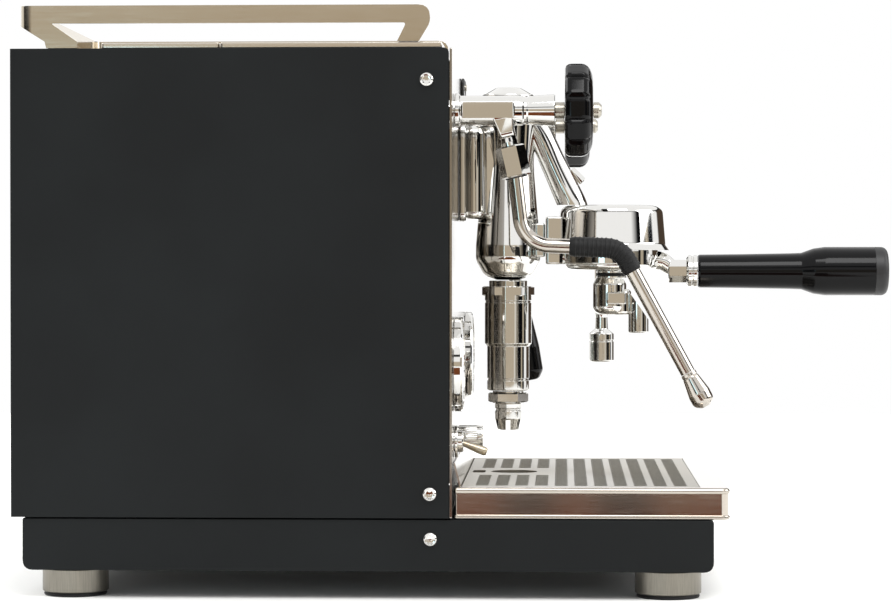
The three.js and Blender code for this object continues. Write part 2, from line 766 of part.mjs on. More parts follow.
function addChamberAndDrain() {
  const { top, radius, lowerRadius, step, bottom, hexRadius } = CHAMBER;
  const drainTop = bottom - DRAIN.gap;
  const barrel = turned(
    [
      [0, top],
      [radius - 3, top],
      [radius - 3, top - 4],
      [radius, top - 4],
      [radius, step],
      [radius - 1.6, step - 0.6],
      [lowerRadius, step - 1],
      [lowerRadius, bottom + 1],
      [lowerRadius - 1, bottom],
      [0, bottom],
    ],
    20,
  );
  const collar = prism(6, hexRadius, top - 11, top - 4, Math.PI / 6);
  piece(machine, "infusion_chamber", joined(barrel, collar), CHROME, [0, GROUP.y, 0]);

  const hexFoot = drainTop - DRAIN.hexHeight;
  const nozzle = turned(
    [
      [0, drainTop + 1.2],
      [DRAIN.hexRadius - 3, drainTop + 1.2],
      [DRAIN.hexRadius - 3, hexFoot],
      [DRAIN.radius, hexFoot],
      [DRAIN.radius, DRAIN.bottom + 9],
      [DRAIN.tipRadius, DRAIN.bottom],
      [4, DRAIN.bottom],
      [4, DRAIN.bottom + 14],
      [0, DRAIN.bottom + 14],
    ],
    16,
  );
  const notches = [0, 60, 120].map((turn) =>
    box(-20, 20, -1.6, 1.6, DRAIN.bottom - 1, DRAIN.bottom + 7).rotate([0, 0, turn]),
  );
  const hex = prism(6, DRAIN.hexRadius, hexFoot, drainTop, Math.PI / 6);
  piece(machine, "drain_nozzle", cut(joined(nozzle, hex), ...notches), CHROME, [0, GROUP.y, 0]);
}

// The lever: a shaft through the casting's cross bore, an arm that hangs down, and a tapered grip.
function addBrewLever() {
  const { z, shaftRadius, x, armRadius, gripStart, length, lean } = LEVER;
  const lever = new THREE.Group();
  lever.position.set(0, GROUP.y, z);
  lever.rotation.x = -THREE.MathUtils.degToRad(lean);
  const shaft = prism(16, shaftRadius, 14, x - 6).rotate([0, 90, 0]);
  const hub = prism(16, 10, x - 14, x + 5).rotate([0, 90, 0]);
  const arm = bar(
    [
      [x - 4, 0, 0],
      [x - 1, 0, -14],
      [x, 0, -gripStart],
    ],
    armRadius,
    5,
    10,
  );
  piece(lever, "brew_lever", joined(shaft, hub, arm), CHROME);
  const grip = turned(
    [
      [0, 0],
      [6.5, 0],
      [7.2, -2],
      [7.8, -16],
      [10.6, -44],
      [11, -54],
      [9.4, -61],
      [5, -(length - gripStart) + 1],
      [0, -(length - gripStart)],
    ],
    18,
  );
  piece(lever, "brew_lever_grip", grip, GLOSS_BLACK, [x, 0, -gripStart - GAP]);
  machine.add(lever);
}

// ---------------------------------------------------------------- portafilter
function addPortafilter() {
  const { top, bottom, bore, floor, outlet } = PORTAFILTER;
  const radius = portafilterRadius;
  const portafilter = new THREE.Group();
  portafilter.position.set(0, BELL.y, 0);
  const cup = turned(
    [
      [bore, top],
      [radius, top],
      [radius, bottom + 6],
      [radius - 4, bottom + 1],
      [radius - 8, bottom],
      [outlet, bottom],
      [outlet, bottom + floor],
      [bore, bottom + floor],
      [bore, top],
    ],
    28,
  );
  const earFoot = BELL.bottom - BELL.skirt + BAYONET.ledge + BAYONET.fit;
  const ears = turned(
    [
      [radius - 1.5, earFoot + BAYONET.ear],
      [radius + BAYONET.earReach, earFoot + BAYONET.ear],
      [radius + BAYONET.earReach, earFoot],
      [radius - 1.5, earFoot],
      [radius - 1.5, earFoot + BAYONET.ear],
    ],
    32,
  ).intersect(box(-60, 60, -BAYONET.earHalfWidth, BAYONET.earHalfWidth, 0, BODY.top));
  const reach = -radius - HANDLE.neck; // from the cup's axis to the handle, towards the front
  const arm = bar(
    [
      [0, -radius + 2.5, bottom + 6.8],
      [0, -radius - 6, bottom + 5],
      [0, reach + 23, HANDLE.z + 0.6],
      [0, reach + 12, HANDLE.z],
    ],
    6.4,
    6,
    12,
  );
  const octagon = prism(8, 8.6, 0, 14, Math.PI / 8).rotate([90, 0, 0]).translate([0, reach + 21, HANDLE.z]);
  const ferrule = turnedForward(
    [
      [0, 8],
      [HANDLE.thin - 0.4, 8],
      [HANDLE.thin - 0.4, 1],
      [HANDLE.thin - 2, 0],
      [0, 0],
    ],
    18,
  ).translate([0, reach + 8 + GAP, HANDLE.z]);
  piece(portafilter, "portafilter_body", joined(cup, ears, arm, octagon, ferrule), CHROME);

  const { length, thin, waist, thick } = HANDLE;
  const handle = turnedForward(
    [
      [0, length],
      [thick - 6.5, length],
      [thick - 2, length - 2.6],
      [thick, length - 8],
      [thick, length * 0.65],
      [thick - 1.2, length * 0.61],
      [waist + 0.6, length * 0.55],
      [waist, length * 0.5],
      [thin, 1],
      [thin - 0.6, 0],
      [0, 0],
    ],
    20,
  );
  piece(portafilter, "portafilter_handle", handle, GLOSS_BLACK, [0, reach, HANDLE.z]);

  const rimZ = top + GAP;
  const basket = turned(
    [
      [BASKET.radius - BASKET.wall, rimZ + BASKET.rim],
      [BASKET.radius + BASKET.lip, rimZ + BASKET.rim],
      [BASKET.radius + BASKET.lip, rimZ],
      [BASKET.radius, rimZ],
      [BASKET.radius - 1, rimZ - BASKET.depth],
      [0, rimZ - BASKET.depth],
      [0, rimZ - BASKET.depth + BASKET.wall],
      [BASKET.radius - 1 - BASKET.wall, rimZ - BASKET.depth + BASKET.wall],
      [BASKET.radius - BASKET.wall, rimZ + BASKET.rim],
    ],
    24,
  );
  piece(portafilter, "filter_basket", basket, BRUSHED_STEEL);
  piece(portafilter, "portafilter_spout", spoutSolid(), CHROME);
  machine.add(portafilter);
}

// A single spout: a collar, an elbow that runs forward, and an open lip that drops.
function spoutSolid() {
  const { radius, neck, bore } = SPOUT;
  const z = PORTAFILTER.bottom - GAP;
  const stub = prism(16, PORTAFILTER.outlet - GAP, z - 1, z + 3.5);
  const collar = turned(
    [
      [0, z],
      [radius, z],
      [radius, z - 5],
      [radius - 1.5, z - neck],
      [0, z - neck],
    ],
    16,
  );
  const path = [
    [0, 0, z - 4],
    [0, 0, z - 13],
    [0, -3, z - 20.5],
    [0, -10.5, z - 23],
    [0, -17, z - 25],
    [0, -19.5, z - 33],
    [0, -19.5, z - 44],
  ];
  const outer = bar(path, bore + SPOUT.wall, 10, 12);
  const channel = bar([...path.slice(0, -1), [0, -19.5, z - 46]], bore, 10, 12);
  const opened = box(-20, 20, -45, -20.5, z - 60, z - 31);
  const tube = cut(outer, channel, opened);
  return cut(joined(stub, collar, tube), prism(16, 3, z - 10, z + 10));
}

// ---------------------------------------------------------------- steam and water valves
const outletTilt = THREE.MathUtils.degToRad(OUTLET.tilt);
// The point at a distance along the outlet's axis, which leans forward, from the valve's own axis.
const onOutlet = (s) => [0, OUTLET.y - s * Math.sin(outletTilt), VALVE.z - s * Math.cos(outletTilt)];

function valveBody() {
  const { radius, length, boreDepth, thread, z } = VALVE;
  const [neck, flare] = [radius - 0.6, radius + 0.8];
  const barrel = turnedForward(
    [
      [0, length],
      [flare - 1, length],
      [flare, length - 1],
      [neck, 50],
      [radius, 46],
      [radius, 4],
      [radius + 1.4, 3],
      [radius + 1.4, GAP],
      [0, GAP],
    ],
    20,
  ).translate([0, 0, z]);
  const stemTop = onOutlet(0);
  const stem = turned(
    [
      [0, 0],
      [8, 0],
      [8, -9],
      [OUTLET.radius, -OUTLET.nutStart + 2],
      [OUTLET.radius, -OUTLET.stem],
      [0, -OUTLET.stem],
    ],
    14,
  )
    .rotate([-OUTLET.tilt, 0, 0])
    .translate(stemTop);
  const bearing = SPINDLE.radius + SPINDLE.shoulder + GAP;
  const bore = prism(14, bearing, length - boreDepth, length + 5).rotate([90, 0, 0]).translate([0, 0, z]);
  const tail = prism(14, thread, -12, 5).rotate([90, 0, 0]).translate([0, 0, z]);
  return cut(joined(barrel, stem, tail), bore);
}

// The knob: a scalloped disc with a domed front and a bore for its spindle.
function knobSolid() {
  const { radius, thickness, lobes, scallop, dome, hub } = KNOB;
  const shape = new THREE.Shape();
  const steps = lobes * 4;
  for (let i = 0; i < steps; i++) {
    const angle = (2 * Math.PI * i) / steps;
    const dip = Math.pow(Math.abs(Math.sin((lobes * angle) / 2)), 3) * scallop;
    const r = radius - dip;
    shape[i ? "lineTo" : "moveTo"](r * Math.cos(angle), r * Math.sin(angle));
  }
  shape.closePath();
  const disc = frontal(shape, thickness).translate([0, -thickness, 0]);
  const form = turnedForward(
    [
      [0, thickness],
      [radius * 0.62, thickness],
      [radius * 0.9, thickness - dome * 0.45],
      [radius + 1, thickness - dome],
      [radius + 1, 0],
      [0, 0],
    ],
    32,
  );
  const dish = turnedForward(
    [
      [hub, thickness + 1],
      [radius * 0.6, thickness + 1],
      [radius * 0.55, thickness - 2],
      [hub, thickness - 2],
      [hub, thickness + 1],
    ],
    20,
  );
  const bore = prism(14, SPINDLE.radius + 0.5, -1, thickness + 2).rotate([90, 0, 0]);
  return cut(disc.intersect(form), dish, bore);
}

function spindleSolid() {
  const { radius, collar, nut, nutLength } = SPINDLE;
  const inner = -VALVE.length + VALVE.boreDepth - 1;
  const back = -KNOB.back - GAP;
  const front = -KNOB.back + KNOB.thickness + GAP;
  return turnedForward(
    [
      [0, front + nutLength],
      [nut - 1, front + nutLength],
      [nut, front + nutLength - 1],
      [nut, front],
      [radius, front],
      [radius, back],
      [collar, back],
      [collar, VALVE.length + GAP],
      [radius + SPINDLE.shoulder, VALVE.length + GAP],
      [radius + SPINDLE.shoulder, -inner],
      [0, -inner],
    ],
    14,
  );
}

function outletNut() {
  const bore = BALL.radius + BALL.fit;
  const corner = (bore + OUTLET.nutWall) / Math.cos(Math.PI / 6);
  const turn = Math.PI / 6 + THREE.MathUtils.degToRad(OUTLET.nutTurn);
  const nut = prism(6, corner, 0, OUTLET.nutLength, turn);
  const bored = cut(nut, prism(20, bore, -1, OUTLET.nutLength + 1));
  return bored.rotate([180 - OUTLET.tilt, 0, 0]).translate(onOutlet(OUTLET.nutStart + GAP));
}

// Points along a bar that is bent at its corners, in the plane x = 0: [y, z, bend radius] for each.
function bent(corners, steps = 5) {
  const points = [];
  corners.forEach(([y, z, r], i) => {
    const corner = new THREE.Vector2(y, z);
    if (!r) {
      points.push([0, y, z]);
      return;
    }
    const back = new THREE.Vector2(corners[i - 1][0] - y, corners[i - 1][1] - z).normalize();
    const on = new THREE.Vector2(corners[i + 1][0] - y, corners[i + 1][1] - z).normalize();
    const half = back.angleTo(on) / 2;
    const inward = back.clone().add(on).normalize();
    const centre = corner.clone().addScaledVector(inward, r / Math.sin(half));
    const turn = (Math.PI - 2 * half) * Math.sign(on.cross(back));
    for (let k = 0; k <= steps; k++) {
      const arm = inward.clone().multiplyScalar(-r);
      arm.rotateAround(new THREE.Vector2(), turn * (k / steps - 0.5));
      points.push([0, centre.x + arm.x, centre.y + arm.y]);
    }
  });
  return points;
}

// Centrelines of the two wands, from the ball in the nut to the end, in each valve's own plane.
const BALL_AT = onOutlet(BALL.at);
const ELBOW = [-46, 234.2, 20];
const KNEE = [-111, 231.6, 22];
const STEAM_END = [-156.2, 148.5];
const STEAM_PATH = bent([BALL_AT.slice(1), ELBOW, KNEE, STEAM_END]);
const GRIP_PATH = bent([[-77, 232.9], KNEE, [-119.5, 216]]);
const WATER_END = [-101.2, 186];
const WATER_PATH = bent([BALL_AT.slice(1), ELBOW, [-101.2, 232.5, 16], WATER_END]);

function wandSolid(path, steps) {
  const ball = solid(new THREE.SphereGeometry(BALL.radius, 14, 9)).translate(BALL_AT);
  return joined(ball, bar(path, WAND.radius, steps, 10));
}

function steamTip() {
  const { radius, tip, tipLength } = WAND;
  const end = STEAM_PATH[STEAM_PATH.length - 1];
  const lean = Math.atan2(KNEE[0] - end[1], KNEE[1] - end[2]);
  return turned(
    [
      [0, 0],
      [radius + 0.3, 0],
      [radius + 0.6, -3],
      [tip, -tipLength + 9],
      [tip, -tipLength + 6],
      [tip * 0.72, -tipLength + 1.6],
      [tip * 0.35, -tipLength],
      [0, -tipLength],
    ],
    16,
  )
    .rotate([-THREE.MathUtils.radToDeg(lean), 0, 0])
    .translate([0, end[1] - GAP * Math.sin(lean), end[2] - GAP * Math.cos(lean)]);
}

function waterTip() {
  const { radius, length, neck } = NOZZLE;
  const end = WATER_PATH[WATER_PATH.length - 1];
  return turned(
    [
      [0, 0],
      [WAND.radius + 0.2, 0],
      [neck, -4],
      [neck + 0.8, -13],
      [radius - 1, -15],
      [radius, -16],
      [radius, -15 - length + 1],
      [radius - 1, -15 - length],
      [0, -15 - length],
    ],
    16,
  ).translate([0, end[1], end[2] - GAP]);
}

function addValve(name, sign) {
  const valve = new THREE.Group();
  valve.position.x = sign * VALVE.x;
  piece(valve, `${name}_valve_body`, valveBody(), CHROME);
  piece(valve, `${name}_joint_nut`, outletNut(), CHROME);
  piece(valve, `${name}_spindle`, spindleSolid(), BRUSHED_STEEL, [0, 0, VALVE.z]);
  piece(valve, `${name}_knob`, knobSolid(), GLOSS_BLACK, [0, KNOB.back, VALVE.z]);
  machine.add(valve);
  return valve;
}

function addWands() {
  const steam = addValve("steam", -1);
  const tube = wandSolid(STEAM_PATH, 30);
  piece(steam, "steam_wand", tube, CHROME);
  const sleeve = bar(GRIP_PATH, WAND.radius + WAND.gripWall, 6, 12);
  piece(steam, "steam_grip", cut(sleeve, bar(STEAM_PATH, WAND.radius + 2 * GAP, 30, 10)), RUBBER);
  piece(steam, "steam_tip", steamTip(), CHROME);
  const water = addValve("water", 1);
  piece(water, "water_wand", wandSolid(WATER_PATH, 26), CHROME);
  piece(water, "water_tip", waterTip(), CHROME);
}

// ---------------------------------------------------------------- front controls
// A gauge is a case with its dial, a needle on a pivot, and a glass.
function addGauge(name, sign) {
  const { radius, proud, bodyRadius, bodyDepth, x, z } = GAUGE;
  const { pivot } = DIAL;
  const gauge = new THREE.Group();
  gauge.position.set(sign * x, 0, z);
  const dialFace = proud - DIAL.depth;
  const caseSolid = turnedForward(
    [
      [radius - 3, proud],
      [radius - 1, proud],
      [radius, proud - 1],
      [radius, GAP],
      [bodyRadius, GAP],
      [bodyRadius, -bodyDepth],
      [0, -bodyDepth],
      [0, dialFace],
      [DIAL.radius - 0.4, dialFace],
      [radius - 3, proud],
    ],
    32,
  );
  const post = prism(12, pivot, dialFace - 1, dialFace + 2.2).rotate([90, 0, 0]);
  piece(gauge, `${name}_gauge_case`, joined(caseSolid, post), CHROME);
  const hub = prism(12, 3.4, 0, 0.9);
  const arm = outline([
    [-0.9, -8, 0],
    [0.9, -8, 0],
    [0.45, DIAL.radius - 7, 0],
    [-0.45, DIAL.radius - 7, 0],
  ]);
  const needle = cut(joined(hub, flat(arm, 0.9)), prism(12, pivot + GAP, -1, 2));
  const turnedNeedle = needle.rotate([0, 0, DIAL.zero]).rotate([90, 0, 0]);
  piece(gauge, `${name}_gauge_needle`, turnedNeedle, GLOSS_BLACK, [0, -dialFace - 0.5, 0]);
  const glass = turnedForward(
    [
      [0, proud - 0.4],
      [radius - 4.2, proud - 0.4],
      [radius - 4.2, proud - 1.4],
      [0, proud - 1.4],
    ],
    24,
  );
  piece(gauge, `${name}_gauge_glass`, glass, GLASS);
  machine.add(gauge);
}

// The temperature controller: a bezel with its display, and two small push buttons.
function addController() {
  const { x, z, width, height, proud, depth, corner, button } = PID;
  const face = rectangle(-width / 2, width / 2, -height / 2, height / 2, corner);
  const plate = frontal(face, proud).translate([0, -proud - GAP, 0]);
  const inset = corner + 2 * GAP;
  const body = box(
    -width / 2 + inset,
    width / 2 - inset,
    -GAP - proud / 2,
    depth,
    -height / 2 + inset / 2 + GAP,
    height / 2 - inset / 2 - GAP,
  );
  const buttons = [
    ["up", 4],
    ["down", -4],
  ];
  const buttonX = width / 2 - 11;
  const wells = buttons.map(([, dz]) =>
    prism(14, button + GAP, -1, 5).rotate([90, 0, 0]).translate([buttonX, 2, dz]),
  );
  const window = box(-width / 2 + 5, buttonX - 5.5, -proud - 1, -proud + 0.4, -5.2, 5.2);
  piece(machine, "controller_bezel", cut(joined(plate, body), window, ...wells), GLOSS_BLACK, [x, 0, z]);
  for (const [name, dz] of buttons) {
    const cap = prism(14, button, 0, 2.6).rotate([90, 0, 0]);
    piece(machine, `controller_button_${name}`, cap, BRUSHED_STEEL, [x + buttonX, -0.2, z + dz]);
  }
}

// The power switch is a bat lever in a threaded bush; the selector is a small round knob.
function addSwitches() {
  const { x, z, bezel, bezelDepth, radius, length, droop } = TOGGLE;
  const bush = turnedForward(
    [
      [4.6, bezelDepth],
      [6.6, bezelDepth],
      [7.2, bezelDepth - 1],
      [7.2, 2.6],
      [bezel, 2.4],
      [bezel, GAP],
      [bezel * 0.6, GAP],
      [bezel * 0.6, -14],
      [0, -14],
      [0, -6],
      [3, -6],
      [4.6, bezelDepth],
    ],
    18,
  );
  piece(machine, "power_switch_bush", bush, CHROME, [-x, 0, z]);
  const bat = turnedForward(
    [
      [0, length],
      [radius + 0.2, length],
      [radius + 0.9, length - 1.4],
      [radius + 0.7, length - 6],
      [radius - 0.6, 3],
      [radius - 0.6, -4],
      [0, -4],
    ],
    10,
  );
  const toggle = piece(machine, "power_switch_toggle", bat, BRUSHED_STEEL, [-x, -2, z]);
  toggle.rotation.x = THREE.MathUtils.degToRad(droop);
  const knob = turnedForward(
    [
      [0, SELECTOR.length],
      [SELECTOR.radius - 0.8, SELECTOR.length],
      [SELECTOR.radius, SELECTOR.length - 0.8],
      [SELECTOR.radius, 1],
      [SELECTOR.stem, 1],
      [SELECTOR.stem, -10],
      [0, -10],
    ],
    16,
  );
  piece(machine, "selector_knob", knob, CHROME, [-SELECTOR.x, 0, SELECTOR.z]);
}

// ---------------------------------------------------------------- inside the casing
function addInside() {
  const { radius, length, wall, gap, z, port } = BOILER;
  const y = TANK.front - gap - radius;
  const half = length / 2;
  const shell = turned(
    [
      [port, half + 6],
      [port + 3, half + 6],
      [port + 3, half],
      [radius - 12, half],
      [radius, half - 14],
      [radius, -half + 14],
      [radius - 12, -half],
      [0, -half],
      [0, -half + wall],
      [radius - 12, -half + wall],
      [radius - wall, -half + 14],
      [radius - wall, half - 14],
      [radius - 12, half - wall],
      [port, half - wall],
      [port, half + 6],
    ],
    20,
  );
  piece(machine, "boiler", shell.rotate([0, 90, 0]), COPPER, [0, y, z]);

  const motor = turned(
    [
      [0, PUMP.length],
      [PUMP.radius - 4, PUMP.length],
      [PUMP.radius, PUMP.length - 4],
      [PUMP.radius, 0],
      [PUMP.headRadius, 0],
      [PUMP.headRadius, -PUMP.headLength],
      [0, -PUMP.headLength],
    ],
    16,
  );
  const bracket = box(-PUMP.radius - 3, -PUMP.radius + 6, -24, 24, 8, 60);
  const body = joined(motor, bracket).rotate([0, 90, 0]);
  const pumpY = TANK.front - PUMP.gap - PUMP.radius;
  piece(machine, "pump", body, BRUSHED_STEEL, [-40, pumpY, PUMP.z]);

  const { width, front, back, bottom, top, corner } = TANK;
  const outer = flat(rectangle(-width / 2, width / 2, front, back, corner), top - bottom, 3);
  const inset = TANK.wall;
  const inner = width / 2 - inset;
  const hollow = rectangle(-inner, inner, front + inset, back - inset, corner - inset);
  const tank = cut(outer, flat(hollow, top - bottom, 3).translate([0, 0, inset]));
  piece(machine, "water_tank", tank, TANK_PLASTIC, [0, 0, bottom]);
}

addBase();
addFeet();
addSidePanels();
addPanelScrews();
addFrontPanel();
addRearPanel();
addPowerInlet();
addTop();
addCupRail();
addDripTray();
addDripGrate();
addGroupBody();
addGroupBell();
addGasketAndScreen();
addGroupCap();
addChamberAndDrain();
addBrewLever();
addPortafilter();
addWands();
addGauge("boiler", -1);
addGauge("pump", 1);
addController();
addSwitches();
addInside();

// Put the origin at the bottom centre of the bounding box.
machine.updateMatrixWorld(true);
const bounds = new THREE.Box3().setFromObject(machine);
machine.position.set(-(bounds.min.x + bounds.max.x) / 2, -(bounds.min.y + bounds.max.y) / 2, -bounds.min.z);

const espressoMachine = new THREE.Group();
espressoMachine.add(machine);
export default espressoMachine;
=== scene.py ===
"""Looks of a home espresso machine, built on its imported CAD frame.

Shapes are drawn in millimetres of the design frame: Y = 0 is the front panel's outer face, the front
looks along -Y, and Z = 0 is the worktop. Studio and pieces are placed in the row frame, in metres.
"""

import sys
import logging
import math
from dataclasses import dataclass, field
from enum import Enum
from typing import Iterable, Sequence

import bmesh
import bpy
from mathutils import Matrix, Vector


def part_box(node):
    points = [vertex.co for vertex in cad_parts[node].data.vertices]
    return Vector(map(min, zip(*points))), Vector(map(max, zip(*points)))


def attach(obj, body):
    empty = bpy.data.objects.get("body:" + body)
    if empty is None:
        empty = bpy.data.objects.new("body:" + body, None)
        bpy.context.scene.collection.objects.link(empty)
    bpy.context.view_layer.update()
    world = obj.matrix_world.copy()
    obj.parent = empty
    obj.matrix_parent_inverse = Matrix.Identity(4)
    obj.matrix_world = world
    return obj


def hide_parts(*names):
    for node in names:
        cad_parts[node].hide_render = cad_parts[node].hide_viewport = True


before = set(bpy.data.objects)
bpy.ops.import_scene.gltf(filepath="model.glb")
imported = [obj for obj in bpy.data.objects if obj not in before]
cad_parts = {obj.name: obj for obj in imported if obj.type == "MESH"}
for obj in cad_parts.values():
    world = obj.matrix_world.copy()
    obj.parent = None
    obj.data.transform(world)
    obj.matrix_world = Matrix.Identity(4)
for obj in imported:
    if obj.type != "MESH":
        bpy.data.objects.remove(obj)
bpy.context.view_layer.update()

LOG = logging.getLogger("espresso_machine")
MM = 0.001
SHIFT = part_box("front_panel")[0][1] / MM  # the row frame's Y at the front panel's face
ROW = Matrix.Diagonal((MM, MM, MM, 1.0)) @ Matrix.Translation((0.0, SHIFT, 0.0))
GAP = 0.3  # clearance between touching CAD pieces


class Side(Enum):
    """A side of the machine as seen from the front; the value is the sign of X."""

    LEFT = -1
    RIGHT = 1


class Slot(Enum):
    """The record's material slots."""

    PANEL = "panel_black"
    POLISHED = "polished_steel"
    BRUSHED = "brushed_steel"
    CHROME = "chrome"
    GLOSS = "gloss_black"
    MATT = "matt_plastic"
    RUBBER = "black_rubber"
    GLASS = "gauge_glass"
    COPPER = "copper_boiler"
    TANK = "tank_plastic"


# ---------------------------------------------------------------- materials
def linear(code: str) -> tuple[float, float, float, float]:
    """Turn an sRGB hex colour into linear RGBA.

    Args:
        code: Six hex digits, such as "C8C2B8".

    Returns:
        The linear red, green and blue, and an alpha of 1.
    """
    parts = [int(code[i : i + 2], 16) / 255 for i in (0, 2, 4)]
    red, green, blue = (c / 12.92 if c <= 0.04045 else ((c + 0.055) / 1.055) ** 2.4 for c in parts)
    return (red, green, blue, 1.0)


def per_mm(size: float) -> float:
    """Return the texture scale at which a pattern repeats about every size millimetres."""
    return 1.0 / (size * MM)


def add_node(
    tree: bpy.types.NodeTree,
    kind: str,
    settings: dict[str, object] | None = None,
    feeds: dict[str, bpy.types.NodeSocket] | None = None,
) -> bpy.types.Node:
    """Add a node, set it and feed it.

    Args:
        tree: The tree to add to.
        kind: The node's type, such as "ShaderNodeBump".
        settings: Properties, or default values of inputs, by name or index.
        feeds: The outputs to link, by the name or index of the input.

    Returns:
        The new node.
    """
    node = tree.nodes.new(kind)
    for name, value in (settings or {}).items():
        if isinstance(name, int) or name in node.inputs:
            node.inputs[name].default_value = value
        else:
            setattr(node, name, value)
    for name, socket in (feeds or {}).items():
        tree.links.new(socket, node.inputs[name])
    return node


def ramp(
    tree: bpy.types.NodeTree, factor: bpy.types.NodeSocket, stops: Sequence[tuple[float, object]]
) -> bpy.types.NodeSocket:
    """Map a factor to colours or greys.

    Args:
        tree: The tree to add to.
        factor: The number to map.
        stops: Position and colour of each stop; a colour is a linear RGBA or one grey value.

    Returns:
        The ramp's colour output.
    """
    node = add_node(tree, "ShaderNodeValToRGB", feeds={"Fac": factor})
    elements = node.color_ramp.elements
    while len(elements) < len(stops):
        elements.new(0.5)
    for element, (position, colour) in zip(elements, stops):
        element.position = position
        element.color = colour if isinstance(colour, tuple) else (colour, colour, colour, 1.0)
    return node.outputs["Color"]


@dataclass(frozen=True)
class Finish:
    """A surface finish. Subclasses say what the real material is and build its pattern."""

    name: str = "finish"
    colour: str = "808080"
    roughness: float = 0.5
    metallic: float = 0.0

    def material(self) -> bpy.types.Material:
        """Return the finish's material, made once."""
        known = bpy.data.materials.get(self.name)
        if known:
            return known
        made = bpy.data.materials.new(self.name)
        made.use_nodes = True
        tree = made.node_tree
        shader = tree.nodes["Principled BSDF"]
        shader.inputs["Base Color"].default_value = linear(self.colour)
        shader.inputs["Roughness"].default_value = self.roughness
        shader.inputs["Metallic"].default_value = self.metallic
        self.dress(tree, shader)
        return made

    def dress(self, tree: bpy.types.NodeTree, shader: bpy.types.Node) -> None:
        """Add the pattern of this finish. The plain finish has none."""

    @staticmethod
    def noise(
        tree: bpy.types.NodeTree,
        size: float,
        stretch: tuple[float, float, float] = (1.0, 1.0, 1.0),
        detail: float = 3.0,
    ) -> bpy.types.NodeSocket:
        """Return noise on the piece's own coordinates.

        Args:
            tree: The tree to add to.
            size: The size of its grain in millimetres.
            stretch: Scale along each axis; a small number draws the grain out.
            detail: Octaves of finer grain.
        """
        coordinates = add_node(tree, "ShaderNodeTexCoord").outputs["Object"]
        mapping = add_node(tree, "ShaderNodeMapping", {"Scale": stretch}, {"Vector": coordinates})
        made = add_node(
            tree,
            "ShaderNodeTexNoise",
            {"Scale": per_mm(size), "Detail": detail},
            {"Vector": mapping.outputs["Vector"]},
        )
        return made.outputs["Fac"]

    @staticmethod
    def bump(
        tree: bpy.types.NodeTree,
        shader: bpy.types.Node,
        height: bpy.types.NodeSocket,
        strength: float,
        depth: float,
    ) -> None:
        """Bump the surface.

        Args:
            tree: The tree to add to.
            shader: The shader to feed.
            height: The pattern.
            strength: How much of it shows.
            depth: Its depth in millimetres.
        """
        made = add_node(
            tree, "ShaderNodeBump", {"Strength": strength, "Distance": depth * MM}, {"Height": height}
        )
        tree.links.new(made.outputs["Normal"], shader.inputs["Normal"])

    @staticmethod
    def spread(
        tree: bpy.types.NodeTree,
        shader: bpy.types.Node,
        pattern: bpy.types.NodeSocket,
        low: float,
        high: float,
    ) -> None:
        """Let the roughness wander between two values.

        Args:
            tree: The tree to add to.
            shader: The shader to feed.
            pattern: What it wanders with.
            low: Roughness where the pattern is 0.
            high: Roughness where the pattern is 1.
        """
        made = add_node(tree, "ShaderNodeMapRange", {"To Min": low, "To Max": high}, {"Value": pattern})
        tree.links.new(made.outputs["Result"], shader.inputs["Roughness"])


@dataclass(frozen=True)
class PowderCoat(Finish):
    """Fine-textured powder coat on sheet steel: near black, matt, with a soft sheen at a low angle."""

    name: str = "powder_coated_steel"
    colour: str = "0B0C0D"
    second: str = "101213"
    roughness: float = 0.5

    def dress(self, tree: bpy.types.NodeTree, shader: bpy.types.Node) -> None:
        """Slightly cloudy black with the coat's fine orange peel."""
        shader.inputs["Specular IOR Level"].default_value = 0.26
        shader.inputs["Specular Tint"].default_value = linear("DEE2E3")
        cloud = self.noise(tree, 90.0, detail=4.0)
        tint = ramp(tree, cloud, [(0.35, linear(self.colour)), (0.7, linear(self.second))])
        tree.links.new(tint, shader.inputs["Base Color"])
        self.spread(tree, shader, self.noise(tree, 25.0), 0.44, 0.56)
        # The real texture is about 0.3 mm; 0.9 mm is the finest that shows at this distance.
        self.bump(tree, shader, self.noise(tree, 0.9, detail=2.0), 0.16, 0.05)


@dataclass(frozen=True)
class MirrorStainless(Finish):
    """Buffed 304 stainless sheet: a slightly warm mirror, softened by faint buffing marks."""

    name: str = "mirror_polished_stainless"
    colour: str = "CFC9C0"
    metallic: float = 1.0
    roughness: float = 0.1
    grain: tuple[float, float, float] = (1.0, 0.04, 1.0)

    def dress(self, tree: bpy.types.NodeTree, shader: bpy.types.Node) -> None:
        """Long faint buffing marks and a slow roll of the sheet."""
        marks = self.noise(tree, 0.8, self.grain, 4.0)
        self.spread(tree, shader, marks, 0.07, 0.17)
        self.bump(tree, shader, self.noise(tree, 60.0, detail=1.0), 0.25, 0.35)


@dataclass(frozen=True)
class GrainedStainless(Finish):
    """Belt-grained stainless steel: a satin metal with fine parallel lines and a stretched gloss."""

    name: str = "grained_stainless"
    colour: str = "B9B4A9"
    second: str = "A9A499"
    metallic: float = 1.0
    roughness: float = 0.32
    grain: tuple[float, float, float] = (0.03, 1.0, 1.0)

    def dress(self, tree: bpy.types.NodeTree, shader: bpy.types.Node) -> None:
        """Lines of a 180 grit belt, drawn at 0.7 mm where the real ones are about 0.1 mm."""
        shader.inputs["Anisotropic"].default_value = 0.55
        lines = self.noise(tree, 0.7, self.grain, 3.0)
        self.spread(tree, shader, lines, 0.24, 0.42)
        tint = ramp(tree, lines, [(0.3, linear(self.second)), (0.7, linear(self.colour))])
        tree.links.new(tint, shader.inputs["Base Color"])
        self.bump(tree, shader, lines, 0.2, 0.03)


